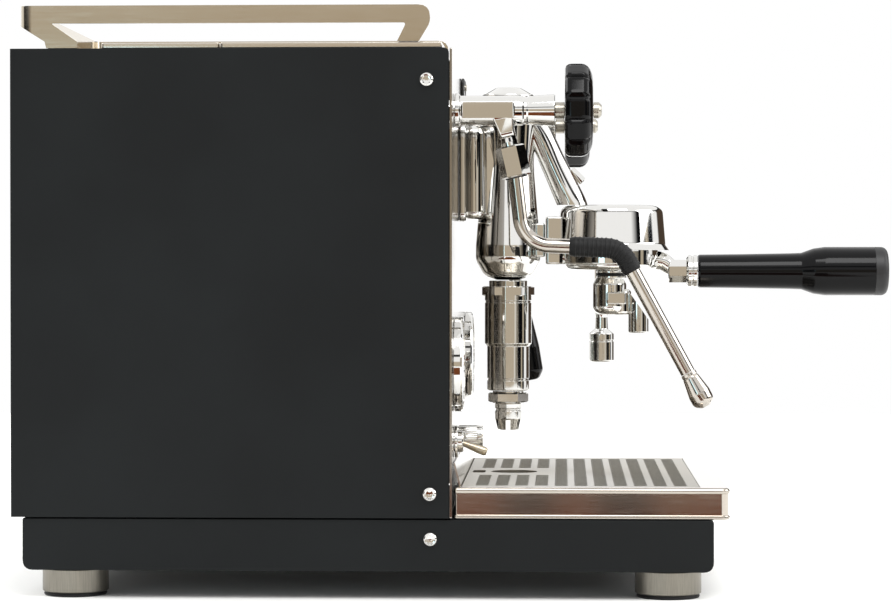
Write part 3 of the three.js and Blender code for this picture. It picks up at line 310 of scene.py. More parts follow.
@dataclass(frozen=True)
class ChromePlate(Finish):
    """Bright chrome on polished brass: a cold, hard mirror with the odd smear and water mark."""

    name: str = "bright_chrome_plate"
    colour: str = "D2D1CE"
    metallic: float = 1.0
    roughness: float = 0.04

    def dress(self, tree: bpy.types.NodeTree, shader: bpy.types.Node) -> None:
        """Smears of 12 mm that only dull the mirror a little."""
        self.spread(tree, shader, self.noise(tree, 12.0, detail=5.0), 0.025, 0.075)


@dataclass(frozen=True)
class Phenolic(Finish):
    """Compression-moulded phenolic, polished: deep black with a clear, hard gloss."""

    name: str = "polished_phenolic"
    colour: str = "050506"
    roughness: float = 0.1

    def dress(self, tree: bpy.types.NodeTree, shader: bpy.types.Node) -> None:
        """A trace of handling in the gloss and a very slow unevenness from the mould."""
        shader.inputs["Specular IOR Level"].default_value = 0.16
        self.spread(tree, shader, self.noise(tree, 9.0, detail=5.0), 0.07, 0.16)
        self.bump(tree, shader, self.noise(tree, 14.0, detail=1.0), 0.12, 0.1)


@dataclass(frozen=True)
class MattPlastic(Finish):
    """Spark-eroded ABS moulding: black with an even, fine matt grain."""

    name: str = "grained_abs"
    colour: str = "0D0D0E"
    roughness: float = 0.5

    def dress(self, tree: bpy.types.NodeTree, shader: bpy.types.Node) -> None:
        """Mould grain of 0.6 mm."""
        grain = self.noise(tree, 0.6, detail=2.0)
        self.spread(tree, shader, grain, 0.4, 0.56)
        self.bump(tree, shader, grain, 0.2, 0.04)


@dataclass(frozen=True)
class MouldedRubber(Finish):
    """Moulded silicone rubber: soft black that goes greyish where the light grazes it."""

    name: str = "moulded_silicone_rubber"
    colour: str = "080809"
    roughness: float = 0.6

    def dress(self, tree: bpy.types.NodeTree, shader: bpy.types.Node) -> None:
        """Dusty sheen with a fine grain."""
        shader.inputs["Specular IOR Level"].default_value = 0.3
        shader.inputs["Sheen Weight"].default_value = 0.04
        shader.inputs["Sheen Roughness"].default_value = 0.5
        self.spread(tree, shader, self.noise(tree, 3.0), 0.5, 0.7)
        self.bump(tree, shader, self.noise(tree, 0.7, detail=2.0), 0.15, 0.05)


@dataclass(frozen=True)
class DialEnamel(Finish):
    """Stove-enamelled aluminium dial: flat off-white."""

    name: str = "dial_enamel"
    colour: str = "EFEDE6"
    roughness: float = 0.45

    def dress(self, tree: bpy.types.NodeTree, shader: bpy.types.Node) -> None:
        """A little unevenness in the stoved coat."""
        self.spread(tree, shader, self.noise(tree, 2.0), 0.4, 0.52)


@dataclass(frozen=True)
class PrintingInk(Finish):
    """Screen-printed ink on a dial: dead matt black."""

    name: str = "dial_ink"
    colour: str = "101010"
    roughness: float = 0.7

    def dress(self, tree: bpy.types.NodeTree, shader: bpy.types.Node) -> None:
        """The mesh of the screen in the ink's surface."""
        self.bump(tree, shader, self.noise(tree, 0.3), 0.1, 0.01)


@dataclass(frozen=True)
class ClearGlass(Finish):
    """Flat float glass over a dial: clear, with a sharp reflection."""

    name: str = "float_glass"
    colour: str = "F4F8F8"
    roughness: float = 0.02

    def dress(self, tree: bpy.types.NodeTree, shader: bpy.types.Node) -> None:
        """Clear all through."""
        shader.inputs["Transmission Weight"].default_value = 1.0
        shader.inputs["IOR"].default_value = 1.52


@dataclass(frozen=True)
class Copper(Finish):
    """Spun copper with a tarnish: warm, satin, darker in blooms."""

    name: str = "spun_copper"
    colour: str = "C08A60"
    metallic: float = 1.0
    roughness: float = 0.3

    def dress(self, tree: bpy.types.NodeTree, shader: bpy.types.Node) -> None:
        """Tarnish blooms of about 30 mm."""
        bloom = self.noise(tree, 30.0, detail=6.0)
        tint = ramp(tree, bloom, [(0.3, linear("8E5B3C")), (0.65, linear(self.colour))])
        tree.links.new(tint, shader.inputs["Base Color"])
        self.spread(tree, shader, bloom, 0.4, 0.22)


@dataclass(frozen=True)
class TankPlastic(Finish):
    """Blow-moulded polypropylene: milky and softly see-through."""

    name: str = "milky_polypropylene"
    colour: str = "DDE4E6"
    roughness: float = 0.35

    def dress(self, tree: bpy.types.NodeTree, shader: bpy.types.Node) -> None:
        """Milky body with a slightly wavy skin."""
        shader.inputs["Transmission Weight"].default_value = 0.45
        shader.inputs["IOR"].default_value = 1.49
        self.bump(tree, shader, self.noise(tree, 18.0, detail=1.0), 0.2, 0.3)


POWDER = PowderCoat()
MIRROR = MirrorStainless(colour="96918A")
MIRROR_ACROSS = MirrorStainless(name="mirror_polished_stainless_across", grain=(0.04, 1.0, 1.0))
GRAINED = GrainedStainless()
FOOT_STEEL = GrainedStainless(
    name="turned_stainless", colour="8E8A80", second="7C7870", grain=(1.0, 1.0, 0.05)
)
RAIL_STEEL = MirrorStainless(name="bright_bent_stainless", colour="BDB4A4", roughness=0.16)
TUBE_STEEL = MirrorStainless(name="polished_stainless_tube", colour="B4AEA6", grain=(1.0, 1.0, 0.04))
TRAY_STEEL = MirrorStainless(name="pressed_bright_stainless", colour="B0A9A0", roughness=0.1)
GRATE_STEEL = GrainedStainless(name="cross_grained_stainless", grain=(0.03, 1.0, 1.0))
WARM_NICKEL = GrainedStainless(name="satin_nickel", colour="B9A88A")
DISPLAY = Phenolic(name="smoked_acrylic", colour="160808", roughness=0.06)
CHROME = ChromePlate()
PHENOLIC = Phenolic()
ABS = MattPlastic()
RUBBER = MouldedRubber()
ENAMEL = DialEnamel()
INK = PrintingInk()
GLASS = ClearGlass()
COPPER = Copper()
TANK = TankPlastic()


# ---------------------------------------------------------------- shapes
def eased(
    corners: Sequence[tuple[float, float, float]], steps: int = 5, closed: bool = False
) -> list[tuple[float, float]]:
    """Round the corners of a line or an outline.

    Args:
        corners: Each corner's two coordinates and its radius.
        steps: Pieces in each arc.
        closed: Whether the last corner runs on to the first.

    Returns:
        The points of the eased line.
    """
    points: list[tuple[float, float]] = []
    count = len(corners)
    for i, (across, along, radius) in enumerate(corners):
        here = Vector((across, along))
        if radius <= 0 or (not closed and i in (0, count - 1)):
            points.append((across, along))
            continue
        back = Vector(corners[i - 1][:2]) - here
        on = Vector(corners[(i + 1) % count][:2]) - here
        room = min(back.length, on.length) * 0.498
        back.normalize()
        on.normalize()
        angle = back.angle(on)
        if angle > math.pi - 0.01:
            points.append((across, along))
            continue
        tangent = min(radius / math.tan(angle / 2), room)
        arm = tangent * math.tan(angle / 2)
        centre = here + (back + on).normalized() * (arm / math.sin(angle / 2))
        start, end, turn = here + back * tangent - centre, here + on * tangent - centre, math.pi - angle
        for k in range(steps + 1):
            share = k / steps
            spoke = (start * math.sin((1 - share) * turn) + end * math.sin(share * turn)) / math.sin(turn)
            points.append(tuple(centre + spoke))
    return points


@dataclass
class Shape:
    """A closed mesh in the making, in millimetres of the design frame."""

    points: list[Vector] = field(default_factory=list)
    faces: list[tuple[int, ...]] = field(default_factory=list)

    @classmethod
    def lofted(cls, rings: Sequence[Sequence[Vector]], loop: bool = False) -> "Shape":
        """Skin a row of rings with as many points each.

        Args:
            rings: The rings; one of a single point is a pole. Open ends are closed flat.
            loop: Whether the last ring joins the first.
        """
        made = cls()
        starts = []
        for ring in rings:
            starts.append(len(made.points))
            made.points.extend(Vector(point) for point in ring)
        pairs = [(i, i + 1) for i in range(len(rings) - 1)]
        if loop:
            pairs.append((len(rings) - 1, 0))
        for a, b in pairs:
            first, second = len(rings[a]), len(rings[b])
            count = max(first, second)
            for k in range(count):
                on = (k + 1) % count
                face = [
                    starts[a] + k % first,
                    starts[a] + on % first,
                    starts[b] + on % second,
                    starts[b] + k % second,
                ]
                made.faces.append(tuple(dict.fromkeys(face)))
        if not loop:
            for i in (0, len(rings) - 1):
                if len(rings[i]) > 2:
                    made.faces.append(tuple(range(starts[i], starts[i] + len(rings[i]))))
        return made

    @classmethod
    def turned(cls, profile: Sequence[tuple[float, ...]], sides: int = 72, steps: int = 5) -> "Shape":
        """Turn a profile about +Z.

        Args:
            profile: Radius, height and optionally corner radius of each corner. It starts and ends on
                the axis, or closes on itself.
            sides: Points round the axis.
            steps: Pieces in each eased corner.
        """
        corners = [(*p, 0.0)[:3] for p in profile]
        loop = corners[0][:2] == corners[-1][:2]
        line = eased(corners[:-1] if loop else corners, steps, loop)
        rings = []
        for radius, height in line:
            if radius < 1e-6:
                rings.append([Vector((0, 0, height))])
                continue
            spokes = [2 * math.pi * k / sides for k in range(sides)]
            rings.append([Vector((radius * math.cos(a), radius * math.sin(a), height)) for a in spokes])
        return cls.lofted(rings, loop)

    @classmethod
    def swept(
        cls,
        path: Sequence[Vector],
        radius: float | Sequence[float],
        across: Vector = Vector((1, 0, 0)),
        sides: int = 32,
    ) -> "Shape":
        """Run a round section along a flat path.

        Args:
            path: The centreline.
            radius: One radius, or one at each point.
            across: The direction square to the path's plane.
            sides: Points round the section.
        """
        radii = [radius] * len(path) if isinstance(radius, (int, float)) else list(radius)
        rings = []
        for i, (point, size) in enumerate(zip(path, radii)):
            along = (path[min(i + 1, len(path) - 1)] - path[max(i - 1, 0)]).normalized()
            up = along.cross(across)
            spokes = [2 * math.pi * k / sides for k in range(sides)]
            rings.append([point + (across * math.cos(a) + up * math.sin(a)) * size for a in spokes])
        return cls.lofted(rings)

    @classmethod
    def plate(
        cls, outline: Sequence[tuple[float, float]], low: float, high: float, edge: float = 0.0
    ) -> "Shape":
        """Make a plate in XY between two heights.

        Args:
            outline: The outline's points, anticlockwise.
            low: Its underside.
            high: Its top.
            edge: How far each edge is eased.
        """
        centre = sum((Vector(p) for p in outline), Vector((0, 0))) / len(outline)
        spans = [max(abs(p[i] - centre[i]) for p in outline) for i in (0, 1)]

        def ring(inset: float, height: float) -> list[Vector]:
            """Return the outline at a height, pulled in by an inset."""
            scale = [1 - inset / max(span, 0.01) for span in spans]
            return [
                Vector((centre.x + (x - centre.x) * scale[0], centre.y + (y - centre.y) * scale[1], height))
                for x, y in outline
            ]

        if edge <= 0:
            return cls.lofted([ring(0, low), ring(0, high)])
        turn = [math.pi / 2 * k / 4 for k in range(5)]
        rings = [ring(edge * (1 - math.sin(a)), low + edge * (1 - math.cos(a))) for a in turn]
        rings += [ring(edge * (1 - math.cos(a)), high - edge * (1 - math.sin(a))) for a in turn]
        return cls.lofted(rings)

    @classmethod
    def block(
        cls, low: Sequence[float], high: Sequence[float], corner: float = 0, edge: float = 0
    ) -> "Shape":
        """Make a box with eased corners in plan and eased edges.

        Args:
            low: Its lowest corner.
            high: Its highest corner.
            corner: Radius of its upright corners.
            edge: Radius of its top and bottom edges.
        """
        (x0, y0, z0), (x1, y1, z1) = low, high
        outline = eased([(x0, y0, corner), (x1, y0, corner), (x1, y1, corner), (x0, y1, corner)], 6, True)
        return cls.plate(outline, z0, z1, edge)

    @classmethod
    def prism(
        cls, sides: int, flats: float, low: float, high: float, chamfer: float = 0.0, turn: float = 0.0
    ) -> "Shape":
        """Make a nut-like prism about +Z with broken corners.

        Args:
            sides: How many flats.
            flats: Size across the flats.
            low: Its lower end.
            high: Its upper end.
            chamfer: How far both ends are broken.
            turn: Rotation in degrees.
        """
        corner = flats / 2 / math.cos(math.pi / sides)

        def ring(radius: float, height: float) -> list[Vector]:
            """Return the prism's corners at a height."""
            spokes = [math.radians(turn) + 2 * math.pi * k / sides for k in range(sides)]
            return [Vector((radius * math.cos(a), radius * math.sin(a), height)) for a in spokes]

        rings = [ring(corner - chamfer * 1.6, low), ring(corner, low + chamfer)]
        rings += [ring(corner, high - chamfer), ring(corner - chamfer * 1.6, high)]
        return cls.lofted(rings if chamfer > 0 else [rings[1], rings[2]])

    def moved(self, *steps: Matrix) -> "Shape":
        """Return the shape after the given matrices, the first one first."""
        whole = Matrix.Identity(4)
        for step in steps:
            whole = step @ whole
        return Shape([whole @ point for point in self.points], list(self.faces))

    def mesh(self, name: str = "draft") -> bpy.types.Mesh:
        """Return the shape as a mesh in the row frame with its faces outwards."""
        made = bpy.data.meshes.new(name)
        made.from_pydata([tuple(ROW @ point) for point in self.points], [], self.faces)
        work = bmesh.new()
        work.from_mesh(made)
        bmesh.ops.remove_doubles(work, verts=work.verts, dist=1e-7)
        bmesh.ops.recalc_face_normals(work, faces=work.faces)
        work.to_mesh(made)
        work.free()
        return made


def at(x: float = 0.0, y: float = 0.0, z: float = 0.0) -> Matrix:
    """Return a move, in millimetres."""
    return Matrix.Translation((x, y, z))


def turn(angle: float, axis: str) -> Matrix:
    """Return a turn by an angle in degrees about X, Y or Z."""
    return Matrix.Rotation(math.radians(angle), 4, axis)


FORWARD = turn(90, "X")  # turns +Z to -Y, so a turned profile's heights are distances forward
RIGHTWARD = turn(90, "Y")  # turns +Z to +X


def in_plane(points: Iterable[tuple[float, float]], x: float = 0.0) -> list[Vector]:
    """Return points in the YZ plane at a given X."""
    return [Vector((x, y, z)) for y, z in points]


def dense(path: Sequence[Vector], step: float) -> list[Vector]:
    """Return a path with more points, no more than a step apart."""
    points = [path[0]]
    for start, end in zip(path, path[1:]):
        count = max(1, math.ceil((end - start).length / step))
        points += [start.lerp(end, k / count) for k in range(1, count + 1)]
    return points


# ---------------------------------------------------------------- pieces
def baked(obj: bpy.types.Object) -> bpy.types.Object:
    """Turn an object's modifiers into plain mesh, and remove them.

    Args:
        obj: The object to settle.

    Returns:
        The same object.
    """
    graph = bpy.context.evaluated_depsgraph_get()
    graph.update()
    made = bpy.data.meshes.new_from_object(obj.evaluated_get(graph), depsgraph=graph)
    obj.modifiers.clear()
    old, obj.data = obj.data, made
    bpy.data.meshes.remove(old)
    return obj


def drafted(mesh: bpy.types.Mesh, name: str = "draft") -> bpy.types.Object:
    """Return a new object in the scene that holds a mesh."""
    made = bpy.data.objects.new(name, mesh)
    bpy.context.scene.collection.objects.link(made)
    return made


def discard(objects: Iterable[bpy.types.Object]) -> None:
    """Remove helper objects with their meshes."""
    for obj in list(objects):
        mesh = obj.data
        bpy.data.objects.remove(obj)
        if mesh and mesh.users == 0:
            bpy.data.meshes.remove(mesh)


def fused(shapes: Sequence[Shape], cuts: Sequence[Shape] = ()) -> bpy.types.Object:
    """Join shapes into one skin and cut others out of it.

    Args:
        shapes: What is joined.
        cuts: What is cut away.

    Returns:
        An object with the result.
    """
    main = drafted(shapes[0].mesh())
    tools = []
    for operation, group in (("UNION", shapes[1:]), ("DIFFERENCE", cuts)):
        for shape in group:
            tool = drafted(shape.mesh())
            step = main.modifiers.new(operation, "BOOLEAN")
            step.operation = operation
            step.object = tool
            step.solver = "EXACT"
            tools.append(tool)
    baked(main)
    discard(tools)
    return main


@dataclass
class Piece:
    """One visible piece: its form, its finish and what it stands for."""

    name: str
    form: Shape | bpy.types.Object
    finish: Finish
    slot: Slot
    body: str = "machine"
    nodes: tuple[str, ...] = ()
    smooth: float = 34.0

    def make(self) -> bpy.types.Object:
        """Build the piece, dress it and hang it on its body.

        Returns:
            The finished object.
        """
        obj = drafted(self.form.mesh()) if isinstance(self.form, Shape) else self.form
        obj.name = self.name
        obj.data.name = self.name
        mesh = obj.data
        mesh.polygons.foreach_set("use_smooth", [True] * len(mesh.polygons))
        mesh.set_sharp_from_angle(angle=math.radians(self.smooth))
        even = obj.modifiers.new("even", "WEIGHTED_NORMAL")
        even.keep_sharp = True
        baked(obj)
        obj.data.materials.clear()
        obj.data.materials.append(self.finish.material())
        for polygon in obj.data.polygons:
            polygon.material_index = 0
        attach(obj, self.body)
        if self.nodes:
            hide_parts(*self.nodes)
        size = [round(side / MM, 1) for side in obj.dimensions]
        LOG.info("%s: %d faces, %s mm, on %s", self.name, len(obj.data.polygons), size, self.body)
        return obj


def softened(node: str, width: float) -> bpy.types.Object:
    """Copy a CAD node's form and break its edges.

    Args:
        node: The node's name.
        width: How far each edge is broken, in millimetres.

    Returns:
        An object with the copy.
    """
    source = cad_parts[node]
    work = bmesh.new()
    work.from_mesh(source.data)
    bmesh.ops.remove_doubles(work, verts=work.verts, dist=2e-6)
    bmesh.ops.dissolve_limit(
        work, angle_limit=math.radians(1.0), verts=work.verts, edges=work.edges, use_dissolve_boundaries=False
    )
    mesh = bpy.data.meshes.new(node)
    work.to_mesh(mesh)
    work.free()
    obj = drafted(mesh)
    bevel = obj.modifiers.new("edges", "BEVEL")
    bevel.width = width * MM
    bevel.segments = 2
    bevel.limit_method = "ANGLE"
    bevel.angle_limit = math.radians(32)
    bevel.use_clamp_overlap = True
    return baked(obj)


# ---------------------------------------------------------------- repeats
class Repeats:
    """Geometry Nodes for what repeats: punched slots, screws and the marks of a dial."""

    @staticmethod
    def tree(name: str, inputs: Sequence[tuple[str, str, object]]) -> bpy.types.NodeTree:
        """Start a tree with named inputs.

        Args:
            name: The tree's name.
            inputs: Name, socket type and default of each input after the geometry.
        """
        made = bpy.data.node_groups.new(name, "GeometryNodeTree")
        face = made.interface
        face.new_socket("Geometry", in_out="INPUT", socket_type="NodeSocketGeometry")
        for title, kind, default in inputs:
            socket = face.new_socket(title, in_out="INPUT", socket_type=kind)
            if default is not None:
                socket.default_value = default
        face.new_socket("Geometry", in_out="OUTPUT", socket_type="NodeSocketGeometry")
        return made

    @staticmethod
    def run(obj: bpy.types.Object, tree: bpy.types.NodeTree, values: dict[str, object]) -> bpy.types.Object:
        """Run a tree on an object and keep the plain mesh it makes.

        Args:
            obj: The object to run it on.
            tree: The tree.
            values: The inputs' values by name.
        """
        modifier = obj.modifiers.new(tree.name, "NODES")
        modifier.node_group = tree
        for item in tree.interface.items_tree:
            if item.item_type == "SOCKET" and item.in_out == "INPUT" and item.name in values:
                modifier[item.identifier] = values[item.name]
        return baked(obj)

    @classmethod
    def finish(
        cls, tree: bpy.types.NodeTree, shape: bpy.types.NodeSocket, given: bpy.types.NodeSocket
    ) -> None:
        """End a tree in Realize Instances and Set Material.

        Args:
            tree: The tree to end.
            shape: The geometry so far.
            given: The material that the tree is given.
        """
        real = add_node(tree, "GeometryNodeRealizeInstances", feeds={"Geometry": shape})
        dressed = add_node(
            tree, "GeometryNodeSetMaterial", feeds={"Geometry": real.outputs[0], "Material": given}
        )
        add_node(tree, "NodeGroupOutput", feeds={0: dressed.outputs[0]})

    @classmethod
    def punched(cls) -> bpy.types.NodeTree:
        """Return the tree that punches rows and columns of one cutter out of a sheet."""
        known = bpy.data.node_groups.get("punched_sheet")
        if known:
            return known
        tree = cls.tree(
            "punched_sheet",
            [
                ("Cutter", "NodeSocketObject", None),
                ("Rows", "NodeSocketInt", 5),
                ("Row step", "NodeSocketVector", (0.0, 0.012, 0.0)),
                ("Columns", "NodeSocketInt", 3),
                ("Column step", "NodeSocketVector", (0.088, 0.0, 0.0)),
                ("Material", "NodeSocketMaterial", None),
            ],
        )
        given = add_node(tree, "NodeGroupInput").outputs
        rows = add_node(
            tree, "GeometryNodeMeshLine", feeds={"Count": given["Rows"], "Offset": given["Row step"]}
        )
        columns = add_node(
            tree, "GeometryNodeMeshLine", feeds={"Count": given["Columns"], "Offset": given["Column step"]}
        )
        grid = add_node(
            tree,
            "GeometryNodeInstanceOnPoints",
            feeds={"Points": rows.outputs[0], "Instance": columns.outputs[0]},
        )
        points = add_node(tree, "GeometryNodeRealizeInstances", feeds={"Geometry": grid.outputs[0]})
        cutter = add_node(tree, "GeometryNodeObjectInfo", feeds={"Object": given["Cutter"]})
        cutters = add_node(
            tree,
            "GeometryNodeInstanceOnPoints",
            feeds={"Points": points.outputs[0], "Instance": cutter.outputs["Geometry"]},
        )
        solid = add_node(tree, "GeometryNodeRealizeInstances", feeds={"Geometry": cutters.outputs[0]})
        cut = add_node(
            tree,
            "GeometryNodeMeshBoolean",
            {"operation": "DIFFERENCE", "solver": "EXACT"},
            {"Mesh 1": given["Geometry"], "Mesh 2": solid.outputs[0]},
        )
        cls.finish(tree, cut.outputs[0], given["Material"])
        return tree

    @classmethod
    def punch(
        cls,
        sheet: bpy.types.Object,
        cutter: Shape,
        rows: int,
        row_step: float,
        columns: int,
        column_step: float,
        finish: Finish,
    ) -> bpy.types.Object:
        """Punch rows of slots out of a sheet.

        Args:
            sheet: The sheet to punch.
            cutter: The first slot, where it is.
            rows: Slots along Y.
            row_step: Their spacing in millimetres.
            columns: Slots along X.
            column_step: Their spacing in millimetres.
            finish: The sheet's finish.
        """
        tool = drafted(cutter.mesh())
        cls.run(
            sheet,
            cls.punched(),
            {
                "Cutter": tool,
                "Rows": rows,
                "Row step": (0.0, row_step * MM, 0.0),
                "Columns": columns,
                "Column step": (column_step * MM, 0.0, 0.0),
                "Material": finish.material(),
            },
        )
        discard([tool])
        return sheet

    @classmethod
    def placed(cls) -> bpy.types.NodeTree:
        """Return the tree that sets one part at each point, turned as the point's attribute says."""
        known = bpy.data.node_groups.get("set_at_points")
        if known:
            return known
        tree = cls.tree(
            "set_at_points",
            [
                ("Part", "NodeSocketObject", None),
                ("Scale", "NodeSocketFloat", 1.0),
                ("Material", "NodeSocketMaterial", None),
            ],
        )
        given = add_node(tree, "NodeGroupInput").outputs
        part = add_node(tree, "GeometryNodeObjectInfo", feeds={"Object": given["Part"]})
        facing = add_node(
            tree, "GeometryNodeInputNamedAttribute", {"data_type": "FLOAT_VECTOR", "Name": "facing"}
        )
        aim = add_node(
            tree,
            "FunctionNodeAlignRotationToVector",
            {"axis": "Z"},
            {"Vector": facing.outputs["Attribute"]},
        )
        placed = add_node(
            tree,
            "GeometryNodeInstanceOnPoints",
            feeds={
                "Points": given["Geometry"],
                "Instance": part.outputs["Geometry"],
                "Rotation": aim.outputs[0],
                "Scale": given["Scale"],
            },
        )
        cls.finish(tree, placed.outputs[0], given["Material"])
        return tree

    @classmethod
    def place(
        cls, part: Shape, places: Sequence[tuple[Vector, Vector]], finish: Finish
    ) -> bpy.types.Object:
        """Set a part at several places.

        Args:
            part: The part, about the design frame's origin, along +Z.
            places: The position and the direction of each copy, in millimetres.
            finish: Its finish.
        """
        tool = drafted(part.moved(at(0, -SHIFT, 0)).mesh())
        mesh = bpy.data.meshes.new("places")
        mesh.from_pydata([tuple(ROW @ point) for point, _ in places], [], [])
        facing = mesh.attributes.new("facing", "FLOAT_VECTOR", "POINT")
        facing.data.foreach_set("vector", [c for _, way in places for c in way])
        obj = drafted(mesh)
        cls.run(obj, cls.placed(), {"Part": tool, "Scale": 1.0, "Material": finish.material()})
        discard([tool])
        for name in [a.name for a in obj.data.attributes if a.name == "facing"]:
            obj.data.attributes.remove(obj.data.attributes[name])
        return obj


def rounded(half: float, low: float, high: float, height: float, front: float, back: float) -> list[Vector]:
    """Return a ring: a rectangle in plan with its own radius for the front and the back corners.

    Args:
        half: Half its width.
        low: Y of its front.
        high: Y of its back.
        height: Z.
        front: Radius of the two front corners.
        back: Radius of the two back corners.
    """
    front, back = max(front, 0.05), max(back, 0.05)
    corners = [(-half, low, front), (half, low, front), (half, high, back), (-half, high, back)]
    return [Vector((x, y, height)) for x, y in eased(corners, 8, True)]


def through(knots: Sequence[Vector], per: int = 8) -> list[Vector]:
    """Return a smooth curve through a row of points.

    Args:
        knots: The points.
        per: Pieces between each two of them.
    """
    points = []
    for i in range(len(knots) - 1):
        a, b, c, d = (knots[min(max(i + k, 0), len(knots) - 1)] for k in (-1, 0, 1, 2))
        for k in range(per):
            t = k / per
            bent = 2 * b + (c - a) * t + (2 * a - 5 * b + 4 * c - d) * t**2
            points.append(0.5 * (bent + (3 * b - a - 3 * c + d) * t**3))
    return points + [knots[-1]]


def sphere(radius: float, centre: Vector) -> Shape:
    """Return a sphere about a point."""
    line = [(radius * math.sin(math.pi * k / 24), -radius * math.cos(math.pi * k / 24)) for k in range(25)]
    line[0], line[-1] = (0.0, -radius), (0.0, radius)
    return Shape.turned(line, 48).moved(Matrix.Translation(centre))


# ---------------------------------------------------------------- sub-assemblies
@dataclass
class SubAssembly:
    """A group of pieces that are built together."""

    def pieces(self) -> list[Piece]:
        """Return the pieces, ready to make."""
        return []

    def build(self) -> None:
        """Make every piece."""
        LOG.info("building %s", type(self).__name__)
        for piece in self.pieces():
            piece.make()


@dataclass
class Feet(SubAssembly):
    """Four turned feet on levelling studs, each on a rubber pad."""

    radius: float = 22.0
    height: float = 18.6
    pad: float = 2.4
    stud: float = 4.0
    stud_top: float = 29.6
    across: float = 121.0
    rows: dict[str, float] = field(default_factory=lambda: {"front": -142.6, "rear": 253.5})

    def pieces(self) -> list[Piece]:
        """Return each foot's turned body and its pad."""
        r, h, pad = self.radius, self.height, self.pad
        body = [
            (0, pad), (r - 1.2, pad), (r, pad + 0.9, 0.5), (r, h, 1.0), (self.stud + 3, h, 0.4),
            (self.stud + 3, h + 0.2), (self.stud, h + 0.2), (self.stud, self.stud_top, 0.8),
            (0, self.stud_top),
        ]
        ring = [(0, 0), (r - 1.6, 0, 0.8), (r - 0.9, pad * 0.5, 0.8), (r - 1.4, pad), (0, pad)]
        made = []
        for row, y in self.rows.items():
            for side in Side:
                name = f"foot_{row}_{side.name.lower()}"
                move = at(side.value * self.across, y)
                foot = Shape.turned(body, 96).moved(move)
                made.append(Piece(f"{name}_turned", foot, FOOT_STEEL, Slot.BRUSHED, nodes=(name,)))
                made.append(Piece(f"{name}_pad", Shape.turned(ring, 64).moved(move), RUBBER, Slot.RUBBER))
        return made


@dataclass
class Casing(SubAssembly):
    """Base tray, folded side panels, polished front, vented back, and the mains inlet."""

    fold: float = 0.7
    sheet_edge: float = 0.35

    def pieces(self) -> list[Piece]:
        """Return the sheet-metal pieces with their folds and edges eased."""
        edge = self.sheet_edge
        made = [
            Piece("base_tray", softened("base_frame", self.fold), POWDER, Slot.PANEL, nodes=("base_frame",)),
            Piece("front_sheet", softened("front_panel", edge), MIRROR, Slot.POLISHED, nodes=("front_panel",)),
            Piece("back_sheet", softened("rear_panel", edge), POWDER, Slot.PANEL, nodes=("rear_panel",)),
            Piece("mains_socket", softened("power_inlet", 0.5), ABS, Slot.MATT, nodes=("power_inlet",)),
        ]
        for side in Side:
            name = f"{side.name.lower()}_side_panel"
            sheet = softened(name, self.sheet_edge)
            made.append(Piece(f"{side.name.lower()}_side_sheet", sheet, POWDER, Slot.PANEL, nodes=(name,)))
        return made


@dataclass
class Screws(SubAssembly):
    """Button-head socket screws: two in each side panel and one in each side of the base."""

    radius: float = 4.75
    height: float = 2.7
    socket: float = 2.6
    panel_x: float = 150.05
    base_x: float = 148.0
    panel: tuple[tuple[float, float], ...] = ((16.7, 342.0), (14.7, 70.0))
    base: tuple[float, float] = (14.4, 40.2)

    def head(self) -> Shape:
        """Return one head, domed, with its hexagonal socket, along +Z."""
        sides = 48

        def ring(radius: float, height: float, hexagonal: bool = False) -> list[Vector]:
            """Return a round or hexagonal ring at a height."""
            points = []
            for k in range(sides):
                a = 2 * math.pi * k / sides
                off = (a + math.pi / 6) % (math.pi / 3) - math.pi / 6
                r = radius / math.cos(off) if hexagonal else radius
                points.append(Vector((r * math.cos(a), r * math.sin(a), height)))
            return points

        r, h, s = self.radius, self.height, self.socket
        rings = [[Vector((0, 0, h - 1.9))], ring(s * 0.9, h - 1.6, True), ring(s, h - 0.15, True)]
        rings += [ring(s + 0.75, h), ring(r * 0.86, h - 0.5), ring(r * 0.96, h - 1.05)]
        rings += [ring(r, h - 1.6), ring(r, 0.25), ring(r - 0.3, 0.0), [Vector((0, 0, 0))]]
        return Shape.lofted(rings)

    def pieces(self) -> list[Piece]:
        """Return all six screws."""
        places, nodes = [], []
        for side in Side:
            way = Vector((side.value, 0, 0))
            for (y, z), row in zip(self.panel, ("high", "low")):
                places.append((Vector((side.value * self.panel_x, y, z)), way))
                nodes.append(f"{side.name.lower()}_panel_screw_{row}")
            places.append((Vector((side.value * self.base_x, *self.base)), way))
        heads = Repeats.place(self.head(), places, CHROME)
        return [Piece("button_head_screws", heads, CHROME, Slot.CHROME, nodes=tuple(nodes))]


